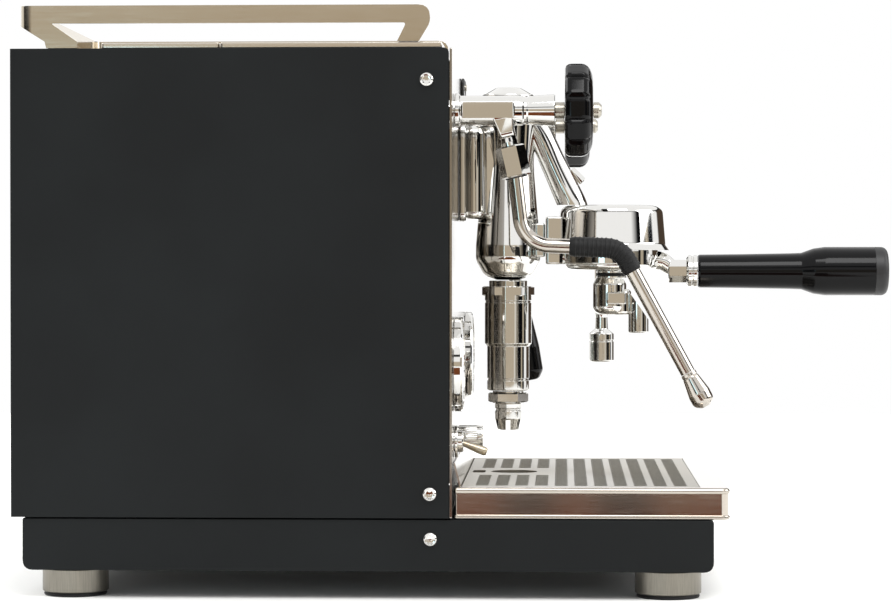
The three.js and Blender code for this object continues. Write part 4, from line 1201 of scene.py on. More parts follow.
@dataclass
class Top(SubAssembly):
    """Slotted cup warmer, slotted lid over the water tank, and the bent rail round them."""

    floor: float = 363.3
    height: float = 3.7
    sheet: float = 1.5
    slot: tuple[float, float] = (74.0, 5.0)
    pitch: float = 88.0

    def sheet_lid(
        self, half: float, front: float, back: float, rows: int, ends: tuple[float, float]
    ) -> bpy.types.Object:
        """Return a shallow folded lid with rows of slots.

        Args:
            half: Half its width.
            front: Y of its front.
            back: Y of its back.
            rows: Rows of slots.
            ends: Y of the slotted area's front and back.
        """
        z0, z1, s = self.floor, self.floor + self.height, self.sheet
        shell = Shape.block((-half, front, z0), (half, back, z1), 1.6, 0.6)
        under = Shape.block((-half + s, front + s, z0 - 2), (half - s, back - s, z1 - s), 1.0)
        lid = fused([shell], [under])
        step = (ends[1] - ends[0]) / rows
        reach, wide = self.slot[0] / 2, self.slot[1] / 2
        x, y = -self.pitch, ends[0] + step / 2
        cutter = Shape.block((x - reach, y - wide, z0), (x + reach, y + wide, z1 + 2), 2.45)
        return Repeats.punch(lid, cutter, rows, step, 3, self.pitch, MIRROR_ACROSS)

    def pieces(self) -> list[Piece]:
        """Return the warmer, the lid and the rail."""
        cover = self.sheet_lid(147.0, 6.6, 152.6, 5, (19.6, 143.6))
        lid = self.sheet_lid(146.0, 153.6, 231.6, 3, (162.6, 223.6))
        rail = softened("cup_rail", 0.4)
        return [
            Piece("cup_warmer", cover, MIRROR_ACROSS, Slot.POLISHED, nodes=("top_cover",)),
            Piece("water_lid", lid, MIRROR_ACROSS, Slot.POLISHED, "tank_lid", ("tank_lid",)),
            Piece("bent_rail", rail, RAIL_STEEL, Slot.POLISHED, nodes=("cup_rail",)),
        ]


@dataclass
class DripTray(SubAssembly):
    """Pressed tray with rolled rims and a splash lip, and the punched grate that lies in it."""

    half: float = 147.5
    front: float = -182.3
    back: float = -1.5
    bottom: float = 53.4
    top: float = 74.3
    corner: float = 6.0
    wall: float = 1.2
    rim: tuple[float, float, float] = (6.5, 19.1, 4.0)
    ledge: float = 3.0
    grate: float = 2.0

    def tray(self) -> Shape:
        """Return the pressed tray as one skin, from its underside up and down into its bowl."""
        z0, z1 = self.bottom, self.top
        sunk, roll = 0.9, 2.3
        arc = [math.pi / 2 * k / 7 for k in range(8)]
        outside = [(3.0, z0)] + [(1.3 - 1.3 * math.sin(a), z0 + 1.3 - 1.3 * math.cos(a)) for a in arc]
        outside += [(0.0, z0 + 2.1), (0.3, z0 + 2.7), (sunk, z0 + 3.0), (sunk, z1 - 3.9), (0.3, z1 - 3.6)]
        outside += [(roll - roll * math.cos(a), z1 - roll + roll * math.sin(a)) for a in arc]
        rings = [self.ring(inset, z) for inset, z in outside]
        shelf = z1 - self.grate - GAP
        opening = [(-0.4, z1), (0.0, z1 - 0.4), (0.0, shelf), (self.ledge, shelf), (self.ledge, shelf - 1.2)]
        rings += [self.opening(inset, z) for inset, z in opening]
        rings += [self.ring(self.wall + 0.7, shelf - 1.2), self.ring(self.wall + 0.7, z0 + 4.0)]
        rings += [self.ring(self.wall + 2.2, z0 + 1.9), self.ring(self.wall + 4.5, z0 + self.wall)]
        return Shape.lofted(rings)

    def ring(self, inset: float, height: float) -> list[Vector]:
        """Return the tray's outline at a height, pulled in by an inset."""
        front, back = self.front + inset, self.back - inset
        corners = self.corner - inset, max(1.5 - inset, 0.3)
        return rounded(self.half - inset, front, back, height, *corners)

    def opening(self, inset: float, height: float) -> list[Vector]:
        """Return the bowl's outline at a height, pulled in by an inset."""
        side, front, back = self.rim
        low, high = self.front + front + inset, self.back - back - inset
        return rounded(self.half - side - inset, low, high, height, 1.5, 1.5)

    def splash(self) -> Shape:
        """Return the leaning lip along the tray's back."""
        back, top = self.back, self.top
        lip = [
            (back - 4.2, top - 1.5, 0), (back - 3.0, top - 1.5, 0), (back + 1.2, top + 15, 0.5),
            (back, top + 15, 0.5),
        ]
        line = eased(lip, 4, True)
        ends = [[Vector((x, y, z)) for y, z in line] for x in (-135.0, 135.0)]
        return Shape.lofted(ends)

    def plate(self) -> bpy.types.Object:
        """Return the flat plate with its drain hole and rear notch, before its slots are punched."""
        front, back = self.front + 19.6, self.back - 4.5
        z0, z1 = self.top - self.grate, self.top
        sheet = Shape.block((-140.5, front, z0), (140.5, back, z1), 1.2, 0.3)
        mouth = back - 16.0
        drain = Shape.block((-14, mouth - 32.5, z0 - 2), (14, mouth, z1 + 2), 13.5)
        notch = Shape.block((-12, mouth + 4, z0 - 2), (12, mouth + 13, z1 + 2), 4.4)
        return fused([sheet], [drain, notch])

    def pieces(self) -> list[Piece]:
        """Return the tray and the grate."""
        tray = fused([self.tray(), self.splash()])
        plate = GratePattern().punch(self.plate())
        return [
            Piece("pressed_tray", tray, TRAY_STEEL, Slot.POLISHED, "drip_tray", ("drip_tray",)),
            Piece("punched_grate", plate, GRATE_STEEL, Slot.BRUSHED, "drip_grate", ("drip_grate",)),
        ]


@dataclass
class GratePattern:
    """The grate's rows of short slots with thin ribs between them, open at the middle rear for the drain."""

    back: float = -14.6
    pitch: float = 13.15
    slot: float = 8.8
    reach: float = 131.5
    half_gap: float = 32.0
    ribs: float = 7.3
    width: float = 5.9
    split_rows: int = 4
    full_rows: int = 7

    def rows(self, plate: bpy.types.Object, start: float, span: float, last: float, rows: int) -> None:
        """Punch a field of short slots.

        Args:
            plate: The plate to punch.
            start: X of the field's edge.
            span: The field's width.
            last: Y of the front edge of the field's front row.
            rows: Rows in the field.
        """
        columns = int((span + self.ribs - self.width) // self.ribs)
        x = start + (span - (columns - 1) * self.ribs - self.width) / 2
        cutter = Shape.block((x, last, 70.0), (x + self.width, last + self.slot, 76.0), 1.6)
        Repeats.punch(plate, cutter, rows, self.pitch, columns, self.ribs, GRATE_STEEL)

    def punch(self, plate: bpy.types.Object) -> bpy.types.Object:
        """Punch all the slots.

        Args:
            plate: The plain grate.
        """
        side = self.reach - self.half_gap
        last = self.back - self.slot - (self.split_rows - 1) * self.pitch
        for start in (-self.reach, self.half_gap):
            self.rows(plate, start, side, last, self.split_rows)
        last -= self.full_rows * self.pitch
        self.rows(plate, -self.reach, 2 * self.reach, last, self.full_rows)
        return plate


@dataclass
class BrewGroup(SubAssembly):
    """Main casting, bell with gasket and screen, domed cap, infusion chamber, drain and brew lever."""

    y: float = -34.0
    bell_y: float = -107.0
    lever_z: float = 238.0
    lever_x: float = 58.0
    lean: float = -8.0

    def casting(self) -> bpy.types.Object:
        """Return the casting: flange, barrel with its round cup, cross boss, neck and web."""
        corners = [(-27, 251, 6), (27, 251, 6), (27, 319.5, 6), (-27, 319.5, 6)]
        flange = Shape.plate(eased(corners, 8, True), GAP, 5.0, 1.4).moved(FORWARD)
        plan = [(-26, -18.3, 8.6), (26, -18.3, 8.6), (26, -2, 8), (-26, -2, 8)]
        housing = Shape.plate(eased(plan, 10, True), 252.5, 318, 5.5)
        barrel = Shape.turned(
            [
                (0, 331), (21, 331, 1.2), (21, 322.6, 0.8), (20, 320.5, 1.5), (18.0, 292, 40),
                (23, 234, 30), (23, 224, 12), (16.5, 212.5, 14), (8.5, 210, 1.0), (8.5, 210.4),
                (0, 210.4),
            ],
            112, 10,
        ).moved(at(0, self.y))
        saddle = Shape.block((-15, self.y, 255), (15, -17.3, 315.5), 2, 2)
        boss = Shape.turned(
            [(0, -19), (12, -19), (15, -16), (15, 16, 2), (13, 20, 2), (13, 40, 1.4), (0, 40)], 80, 6
        ).moved(RIGHTWARD, at(0, self.y, self.lever_z))
        web = Shape.block((-13, -60.2, 226), (13, -53, 250), 1.5, 1.5)
        bore = Shape.turned([(0, 10), (6.3, 10), (6.3, 60), (0, 60)], 48).moved(
            RIGHTWARD, at(0, self.y, self.lever_z)
        )
        roof = Shape.block((-60, -94, 331.02), (60, 26, 371))
        foot = Shape.block((-60, -167, 222.5), (60, -56.5, 262.8))
        neck = fused([self.neck()], [foot])
        main = fused([flange, housing, barrel, saddle, boss, web], [bore])
        step = main.modifiers.new("neck", "BOOLEAN")
        step.operation, step.solver, step.object = "UNION", "EXACT", neck
        tool = drafted(roof.mesh())
        trim = main.modifiers.new("trim", "BOOLEAN")
        trim.operation, trim.solver, trim.object = "DIFFERENCE", "EXACT", tool
        baked(main)
        discard([neck, tool])
        return main

    def neck(self) -> Shape:
        """Return the slanting neck from the barrel's head down to the bell."""
        knots = in_plane([(-36, 327), (-47, 325), (-56, 313.5), (-66.5, 291), (-79, 264), (-81, 258)])
        line = through(knots, 8)
        radii = [8.7 + 1.6 * math.exp(-((i - len(line) + 9) / 7) ** 2) for i in range(len(line))]
        return Shape.swept(line, radii, sides=56)

    def bell(self) -> bpy.types.Object:
        """Return the bell with its rear skirt and the two bayonet ledges."""
        cup = Shape.turned(
            [
                (0, 262.5), (24, 262.5), (36.2, 262.5, 6), (38.5, 235.4, 3), (41.6, 231.0, 0.8),
                (41.6, 230.9), (35.6, 230.9), (35.6, 249.3), (0, 249.3),
            ],
            128, 8,
        )
        skirt = Shape.turned(
            [(37.5, 231.2), (41.9, 231.2, 1.2), (41.9, 221, 1.0), (37.5, 221, 0.4), (37.5, 231.2)], 128, 4
        )
        front = Shape.block((-60, -60, 220), (60, -18, 231.0))
        ledge = Shape.turned([(33.5, 224), (38.5, 224), (38.5, 221), (33.5, 221), (33.5, 224)], 96)
        keep = [
            Shape.block((-60, -60, 219), (60, -16, 226)),
            Shape.block((-60, 16, 219), (60, 60, 226)),
        ]
        web = Shape.block((-20, 34.5, 221), (20, 46.5, 254.5), 2, 1.5)
        hollow = Shape.turned([(0, 220), (38.0, 220), (38.0, 249.2), (0, 249.2)], 96)
        parts = [fused([skirt], [front]), fused([ledge], keep), fused([web], [hollow])]
        main = drafted(cup.mesh())
        for i, part in enumerate(parts):
            step = main.modifiers.new(f"part{i}", "BOOLEAN")
            step.operation, step.solver, step.object = "UNION", "EXACT", part
        baked(main)
        discard(parts)
        main.data.transform(ROW @ at(0, self.bell_y) @ ROW.inverted())
        return main

    def cap(self) -> bpy.types.Object:
        """Return the domed hexagonal cap."""
        hexagon = Shape.prism(6, 36.3, 331.3, 339.3, 0.9, 30)
        dome = Shape.turned([(0, 346), (9, 345.7, 4), (18.6, 340.5, 2), (18.6, 335), (0, 335)], 80, 8)
        return fused([hexagon.moved(at(0, self.y)), dome.moved(at(0, self.y))])

    def chamber(self) -> bpy.types.Object:
        """Return the infusion chamber with its hexagonal collar."""
        tube = Shape.turned(
            [
                (0, 209.6), (13.6, 209.6, 0.6), (13.6, 205.6), (16.6, 205.6, 0.6), (16.6, 195.6, 0.2),
                (16.1, 195.2, 0.1), (16.1, 194.2, 0.1), (16.6, 193.8, 0.2), (16.6, 165.2, 0.8),
                (14.9, 163.2, 0.8), (14.9, 140.6, 0.2), (14.3, 140.2, 0.1), (14.3, 139.2, 0.1),
                (14.9, 138.8, 0.2), (14.9, 131.9, 1.0), (0, 131.9),
            ],
            96, 4,
        )
        collar = Shape.prism(6, 32.1, 198.6, 205.6, 0.8, 30)
        return fused([tube.moved(at(0, self.y)), collar.moved(at(0, self.y))])

    def drain(self) -> bpy.types.Object:
        """Return the drain nozzle: hexagon, neck and slotted tip."""
        hexagon = Shape.prism(6, 24.5, 123.5, 130.3, 0.8, 30)
        body = Shape.turned(
            [
                (0, 131.5), (11, 131.5, 0.5), (11, 123), (9.4, 122.6, 0.6), (9.4, 119.4, 0.4),
                (8.7, 118.8, 0.3), (8.7, 117.8, 0.3), (9.4, 117.2, 0.4), (9.4, 112, 2),
                (7.4, 104, 0.8), (4, 104, 0.4), (4, 118), (0, 118),
            ],
            72, 4,
        )
        slots = [
            Shape.block((-20, -1.6, 102), (20, 1.6, 111), 0, 0).moved(turn(a, "Z"), at(0, self.y))
            for a in (0, 60, 120)
        ]
        return fused([hexagon.moved(at(0, self.y)), body.moved(at(0, self.y))], slots)

    def screen(self) -> bpy.types.Object:
        """Return the shower screen, a shallow cup perforated in a grid."""
        disc = Shape.turned(
            [(0, 249), (22.2, 249, 1), (26.2, 246, 1), (26.2, 242.4, 1), (24.4, 241.6, 0.4), (0, 241.6)], 72
        ).moved(at(0, self.bell_y))
        hole = Shape.turned([(0, 240), (0.8, 240), (0.8, 243), (0, 243)], 8).moved(
            at(-17.6, self.bell_y - 17.6)
        )
        return Repeats.punch(drafted(disc.mesh()), hole, 9, 4.4, 9, 4.4, MIRROR)

    def lever(self) -> bpy.types.Object:
        """Return the lever's shaft, hub and arm in one."""
        shaft = Shape.turned([(0, 14), (6, 14, 0.4), (6, 52), (0, 52)], 48).moved(RIGHTWARD)
        hub = Shape.turned(
            [(0, 44), (9.9, 44, 1.6), (9.9, 63, 2.4), (4, 63, 0.4), (4, 62.4), (0, 62.4)], 64, 6
        ).moved(RIGHTWARD)
        knots = [Vector(p) for p in ((54, 0, 0), (56.2, 0, -9), (57.6, 0, -20), (58, 0, -36))]
        line = through(knots, 8)
        arm = Shape.swept(line, 4.5, Vector((0, 1, 0)), 32)
        place = [turn(self.lean, "X"), at(0, self.y, self.lever_z)]
        return fused([s.moved(*place) for s in (shaft, hub, arm)])

    def grip(self) -> Shape:
        """Return the lever's tapered grip."""
        profile = [
            (0, 0), (6.3, 0, 0.8), (7.2, -2.2, 1.5), (7.8, -16, 20), (10.6, -42, 16), (11, -60, 6.5),
            (7, -66, 4), (0, -66),
        ]
        place = [at(self.lever_x, 0, -36.3), turn(self.lean, "X"), at(0, self.y, self.lever_z)]
        return Shape.turned(profile, 72, 8).moved(*place)

    def plug(self) -> Shape:
        """Return the small hexagonal plug in the neck's front."""
        way = Vector((0, -8.5, -8.5)).normalized()
        aim = way.to_track_quat("Z", "Y").to_matrix().to_4x4()
        return Shape.prism(6, 5.8, -1, 11.2, 0.5).moved(aim, at(0, -79.0, 287.2))

    def pieces(self) -> list[Piece]:
        """Return every piece of the group."""
        gasket = [(26.5, 249), (35.3, 249, 0.6), (35.3, 241.6, 0.6), (26.5, 241.6, 0.6), (26.5, 249)]
        ring = Shape.turned(gasket, 96).moved(at(0, self.bell_y))
        chrome, slot = CHROME, Slot.CHROME
        return [
            Piece("group_casting", self.casting(), chrome, slot, nodes=("group_body",)),
            Piece("bell", self.bell(), chrome, slot, nodes=("group_bell",)),
            Piece("domed_cap", self.cap(), chrome, slot, nodes=("group_cap",)),
            Piece("neck_plug", self.plug(), chrome, slot),
            Piece("chamber", self.chamber(), chrome, slot, nodes=("infusion_chamber",)),
            Piece("drain_tip", self.drain(), chrome, slot, nodes=("drain_nozzle",)),
            Piece("seal_ring", ring, RUBBER, Slot.RUBBER, nodes=("group_gasket",)),
            Piece("perforated_screen", self.screen(), MIRROR, slot, nodes=("shower_screen",)),
            Piece("lever_arm", self.lever(), chrome, slot, "brew_lever", ("brew_lever",)),
            Piece("lever_grip", self.grip(), PHENOLIC, Slot.GLOSS, "brew_lever", ("brew_lever_grip",)),
        ]


@dataclass
class Portafilter(SubAssembly):
    """Filter holder: cup with bayonet ears, arm, handle, basket and single spout."""

    y: float = -107.0
    top: float = 240.0
    bottom: float = 217.0
    radius: float = 33.0
    handle_z: float = 216.2
    reach: float = 60.8
    length: float = 133.0

    def holder(self) -> bpy.types.Object:
        """Return the cup, its two ears, the arm, the octagon and the ferrule."""
        cup = Shape.turned(
            [
                (30, 240, 0.5), (33, 240, 0.8), (33, 217, 5), (25, 217, 1), (5, 217), (5, 220),
                (30, 220, 3), (30, 240, 0.5),
            ],
            112, 7,
        )
        ears = Shape.turned(
            [(31.5, 229.5), (37, 229.5, 0.8), (37, 224.5, 0.8), (31.5, 224.5), (31.5, 229.5)], 112, 4
        )
        sides = [Shape.block((-60, -60, 220), (60, -11, 235)), Shape.block((-60, 11, 220), (60, 60, 235))]
        ear_pair = fused([ears], sides)
        knots = in_plane([(-30, 224), (-36, 222.9), (-41, 219.6), (-47, 217.2), (-54, 216.3)])
        line = through(knots, 8)
        radii = [6.7 - 1.0 * math.exp(-((i - 18) / 9) ** 2) for i in range(len(line))]
        arm = Shape.swept(line, radii, sides=48)
        octagon = Shape.prism(8, 15.9, 0, 14, 0.7, 22.5).moved(FORWARD, at(0, -39.8, self.handle_z))
        ferrule = Shape.turned(
            [
                (0, 8), (11.3, 8, 0.7), (11.3, 5.2, 0.3), (10.7, 4.8, 0.2), (10.7, 4.0, 0.2),
                (11.3, 3.6, 0.3), (11.3, 1.4, 0.6), (9.6, 0, 0.4), (0, 0),
            ],
            72, 4,
        ).moved(FORWARD, at(0, -52.5, self.handle_z))
        hollow = Shape.turned([(0, 220), (29.9, 220), (29.9, 239), (0, 239)], 96)
        main = fused([cup, arm, octagon, ferrule], [hollow])
        step = main.modifiers.new("ears", "BOOLEAN")
        step.operation, step.solver, step.object = "UNION", "EXACT", ear_pair
        baked(main)
        discard([ear_pair])
        main.data.transform(ROW @ at(0, self.y) @ ROW.inverted())
        return main

    def handle(self) -> tuple[Shape, Shape]:
        """Return the moulded handle and its matt end cap."""
        n = self.length
        cap_at = n - 9.2
        body = [
            (0, 0), (11.1, 0, 0.6), (11.7, 1.4, 1.0), (12.0, 30, 20), (12.6, n * 0.48, 10),
            (12.9, n * 0.545, 4), (16.0, n * 0.61, 6), (17.1, n * 0.67, 14), (17.1, cap_at, 0.3),
            (0, cap_at),
        ]
        end = [(0, cap_at), (17.0, cap_at), (17.0, n, 7.0), (0, n)]
        place = [FORWARD, at(0, self.y - self.reach, self.handle_z)]
        return Shape.turned(body, 112, 10).moved(*place), Shape.turned(end, 112, 10).moved(*place)

    def basket(self) -> Shape:
        """Return the filter basket, a thin cup with a rolled rim."""
        z = self.top + 0.3
        profile = [
            (28.2, z + 1), (32, z + 1, 0.4), (32, z, 0.4), (29, z, 0.3), (28, z - 19, 2.4),
            (0, z - 19), (0, z - 18.2), (27.2, z - 18.2, 1.8), (28.2, z + 1),
        ]
        loop = profile[:5] + [(0.01, z - 19), (0.01, z - 18.2)] + profile[7:]
        return Shape.turned(loop, 96, 5).moved(at(0, self.y))

    def spout(self) -> bpy.types.Object:
        """Return the spout: collar with its groove, round body, and the open lip in front of it."""
        z = self.bottom - 0.3
        collar = Shape.turned(
            [(0, z), (10.6, z, 0.8), (10.6, z - 1.6, 0.3), (9.9, z - 2.1, 0.2), (9.9, z - 3.6, 0.2)]
            + [(10.6, z - 4.1, 0.3), (10.6, z - 5.4, 0.8), (9.6, z - 6.2, 0.4), (0, z - 6.2)],
            72, 4,
        )
        stub = Shape.turned([(0, z - 1), (4.7, z - 1), (4.7, z + 3.5), (0, z + 3.5)], 32)
        pot = Shape.turned(
            [(0, z - 5), (9.4, z - 5, 0.6), (12, z - 9.5, 3), (12, z - 31.2, 10), (0, z - 31.2)], 88, 10
        ).moved(at(0, 1.4))
        heel = Shape.turned(
            [(0, z - 13), (8.8, z - 13, 3), (8.8, z - 31.2, 2.4), (0, z - 31.2)], 72, 6
        ).moved(at(0, -5.2))
        band = Shape.block((-12.6, -10, z - 24), (12.6, 4, z - 15), 1.5, 1.2)
        lip = Shape.turned([(0, z - 10), (7.3, z - 10), (7.3, z - 44, 1.0), (0, z - 44)], 64, 4)
        lip = lip.moved(at(0, -18.9))
        hollow = Shape.turned([(0, z - 8), (6.0, z - 8), (6.0, z - 46), (0, z - 46)], 56).moved(at(0, -18.9))
        slant = Shape.block((-20, -50, 0), (20, 50, 60)).moved(turn(55, "X"), at(0, -26.2, z - 35))
        drill = Shape.turned([(0, z - 14), (3, z - 14), (3, z + 10), (0, z + 10)], 32)
        run = Shape.turned([(0, 0), (3.5, 0), (3.5, 19), (0, 19)], 32).moved(FORWARD, at(0, 0, z - 19))
        spoon = fused([lip], [hollow, slant])
        main = fused([collar, stub, pot, heel, band])
        union = main.modifiers.new("lip", "BOOLEAN")
        union.operation, union.solver, union.object = "UNION", "EXACT", spoon
        tools = [drafted(tool.mesh()) for tool in (drill, run)]
        for tool in tools:
            bore = main.modifiers.new("bore", "BOOLEAN")
            bore.operation, bore.solver, bore.object = "DIFFERENCE", "EXACT", tool
        baked(main)
        discard([spoon, *tools])
        main.data.transform(ROW @ at(0, self.y) @ ROW.inverted())
        return main

    def ring(self) -> Shape:
        """Return the black sealing ring in the spout's collar."""
        z = self.bottom - 0.3
        profile = [(9.7, z - 2.2), (10.7, z - 2.2, 0.4), (10.7, z - 3.5, 0.4), (9.7, z - 3.5), (9.7, z - 2.2)]
        return Shape.turned(profile, 72).moved(at(0, self.y))

    def pieces(self) -> list[Piece]:
        """Return every piece of the portafilter."""
        body, end = self.handle()
        chrome, ride = Slot.CHROME, "portafilter"
        return [
            Piece("filter_holder", self.holder(), CHROME, chrome, ride, ("portafilter_body",)),
            Piece("handle", body, PHENOLIC, Slot.GLOSS, ride, ("portafilter_handle",)),
            Piece("handle_end", end, ABS, Slot.MATT, ride),
            Piece("basket", self.basket(), GRAINED, Slot.BRUSHED, ride, ("filter_basket",)),
            Piece("spout", self.spout(), CHROME, chrome, ride, ("portafilter_spout",)),
            Piece("spout_ring", self.ring(), RUBBER, Slot.RUBBER, ride),
        ]


@dataclass
class Valve(SubAssembly):
    """A rotary valve with its knob, ball joint and wand. Shapes are drawn in the plane X = 0."""

    name: str = "steam"
    side: Side = Side.LEFT
    across: float = 105.0
    z: float = 324.0
    tilt: float = 12.5
    outlet: float = -31.6
    tube: float = 5.0
    ball: float = 7.0

    def down_outlet(self, distance: float) -> Vector:
        """Return the point at a distance along the outlet's leaning axis."""
        lean = math.radians(self.tilt)
        return Vector((0, self.outlet - distance * math.sin(lean), self.z - distance * math.cos(lean)))

    def placed(self, shape: Shape) -> Shape:
        """Return a shape moved to the valve's own side."""
        return shape.moved(at(self.side.value * self.across))

    def body(self) -> bpy.types.Object:
        """Return the valve's body: flange, barrel with a flat each side, bonnet, and the outlet's stem."""
        barrel = Shape.turned(
            [
                (0, 0.3), (11.4, 0.3, 0.3), (11.4, 3.2, 0.8), (10.0, 4.0, 0.4), (10.0, 45.5, 0.8),
                (9.2, 46.6, 0.3), (9.2, 48.2, 0.3), (9.6, 49.4, 0.6), (10.8, 66.2, 0.3),
                (10.8, 67.3, 0.5), (5.3, 67.3), (5.3, 53.3), (0, 53.3),
            ],
            96, 4,
        ).moved(FORWARD, at(0, 0, self.z))
        lean = [turn(-self.tilt, "X"), Matrix.Translation(self.down_outlet(0))]
        stem = Shape.turned(
            [(0, -4), (6.2, -4), (5.6, -19, 2), (6.0, -22, 2), (6.0, -30, 0.5), (0, -30)], 72, 6
        )
        sizes = [(0, 8.4, 7.4), (-6, 8.4, 6.9), (-15.5, 8.0, 5.0), (-17.5, 7.2, 4.6), (-18.4, 6.0, 4.0)]
        web = Shape.lofted([self.section(*size) for size in sizes])
        tail = Shape.turned([(0, -12), (7, -12, 0.6), (7, 5), (0, 5)], 48).moved(FORWARD, at(0, 0, self.z))
        flats = [
            Shape.block((x - 2, -40.6, self.z - 8), (x + 2, -4.4, self.z + 8), 1.6) for x in (-10.5, 10.5)
        ]
        trimmed = fused([self.placed(barrel)], [self.placed(flat) for flat in flats])
        main = fused([self.placed(s) for s in (stem.moved(*lean), web.moved(*lean), tail)])
        union = trimmed.modifiers.new("web", "BOOLEAN")
        union.operation, union.solver, union.object = "UNION", "EXACT", main
        baked(trimmed)
        discard([main])
        return trimmed

    @staticmethod
    def section(height: float, half_x: float, half_y: float) -> list[Vector]:
        """Return one ring of the flat-faced web: a rectangle with eased corners."""
        r = 1.3
        corners = [(-half_x, -half_y, r), (half_x, -half_y, r), (half_x, half_y, r), (-half_x, half_y, r)]
        return [Vector((x, y, height)) for x, y in eased(corners, 4, True)]

    def nut(self) -> bpy.types.Object:
        """Return the joint nut, a deep hexagon with broken corners, bored for the ball."""
        hexagon = Shape.prism(6, 17.5, 0, 21.2, 1.0, 35)
        bore = Shape.turned([(0, -1), (7.6, -1), (7.6, 23), (0, 23)], 64)
        place = [turn(180 - self.tilt, "X"), Matrix.Translation(self.down_outlet(24.5))]
        return fused([self.placed(hexagon.moved(*place))], [self.placed(bore.moved(*place))])

    def seal(self) -> Shape:
        """Return the black ring in the mouth of the joint nut."""
        profile = [(5.4, 19.6), (7.5, 19.6, 0.3), (7.5, 21.9, 0.6), (5.4, 21.9, 0.4), (5.4, 19.6)]
        place = [turn(180 - self.tilt, "X"), Matrix.Translation(self.down_outlet(24.5))]
        return self.placed(Shape.turned(profile, 56).moved(*place))

    def spindle(self) -> Shape:
        """Return the spindle with its collar and its domed nut in front of the knob."""
        front = 74 + 18.8 + 0.3
        profile = [
            (0, 54.3), (5.0, 54.3), (5.0, 67.6), (5.5, 67.6, 0.3), (5.5, 73.7, 0.3), (4.0, 73.7),
            (4.0, front), (5.4, front, 0.3), (5.4, front + 3.6, 1.6), (3.4, front + 5.4, 1.0),
            (0, front + 5.5),
        ]
        return self.placed(Shape.turned(profile, 56, 5).moved(FORWARD, at(0, 0, self.z)))

    def knob(self) -> Shape:
        """Return the twelve-lobed knob, with a dished front."""
        lobes, per = 12, 14
        profile = [
            (4.5, 0.0, 0.0), (12.0, 0.0, 0.0), (13.0, 1.6, 0.0), (20.0, 1.8, 0.0), (21.0, 0.3, 0.2),
            (28.6, 0.0, 0.8), (30.6, 0.8, 1.5), (31.7, 2.4, 2.3), (32.0, 4.6, 2.8), (32.0, 11.0, 2.8),
            (31.5, 13.2, 2.5), (30.2, 15.2, 1.9), (28.0, 16.8, 1.2), (25.0, 18.0, 0.5),
            (22.4, 18.6, 0.1), (20.6, 18.7, 0.0), (20.0, 18.3, 0.0), (19.8, 16.9, 0.0),
            (4.5, 16.9, 0.0),
        ]
        rings = []
        for radius, forward, dip in profile:
            ring = []
            for k in range(lobes * per):
                a = 2 * math.pi * k / (lobes * per)
                off = (a + math.pi / lobes) % (2 * math.pi / lobes) - math.pi / lobes
                flat = math.cos(math.pi / lobes) / math.cos(off)
                groove = math.exp(-(((math.pi / lobes - abs(off)) / 0.042) ** 2))
                r = radius * (1 + (flat - 1) * min(dip, 1.0)) - dip * groove * 0.8
                ring.append(Vector((r * math.cos(a), r * math.sin(a), forward)))
            rings.append(ring)
        shape = Shape.lofted(rings, loop=True)
        return self.placed(shape.moved(FORWARD, at(0, -74, self.z)))

    def disc(self) -> Shape:
        """Return the bright disc set in the knob's front."""
        profile = [(4.2, 17.0), (19.4, 17.0), (19.4, 18.5, 0.4), (17.6, 18.7, 0.3), (4.2, 18.7), (4.2, 17.0)]
        return self.placed(Shape.turned(profile, 96).moved(FORWARD, at(0, -74, self.z)))

    def line(self) -> list[tuple[float, float]]:
        """Return the wand's centreline in its plane."""
        start = self.down_outlet(38.0)
        return eased([(start.y, start.z, 0), *self.corners()], 14)

    def corners(self) -> list[tuple[float, float, float]]:
        """Return the wand's corners after the ball, each with its bend's radius."""
        return []

    def wand(self) -> bpy.types.Object:
        """Return the bent tube with its ball."""
        tube = Shape.swept(in_plane(self.line()), self.tube, sides=48)
        return fused([self.placed(tube), self.placed(sphere(self.ball, self.down_outlet(38.0)))])

    def pieces(self) -> list[Piece]:
        """Return every piece of the valve and its wand."""
        n = self.name
        knob, wand = f"{n}_knob", f"{n}_wand"
        return [
            Piece(f"{n}_valve", self.body(), CHROME, Slot.CHROME, nodes=(f"{n}_valve_body",)),
            Piece(f"{n}_nut", self.nut(), CHROME, Slot.CHROME, nodes=(f"{n}_joint_nut",)),
            Piece(f"{n}_seal", self.seal(), RUBBER, Slot.RUBBER),
            Piece(f"{n}_stem", self.spindle(), GRAINED, Slot.BRUSHED, knob, (f"{n}_spindle",)),
            Piece(f"{n}_handwheel", self.knob(), PHENOLIC, Slot.GLOSS, knob, (knob,)),
            Piece(f"{n}_handwheel_disc", self.disc(), CHROME, Slot.CHROME, knob),
            Piece(f"{n}_tube", self.wand(), TUBE_STEEL, Slot.CHROME, wand, (wand,)),
        ]


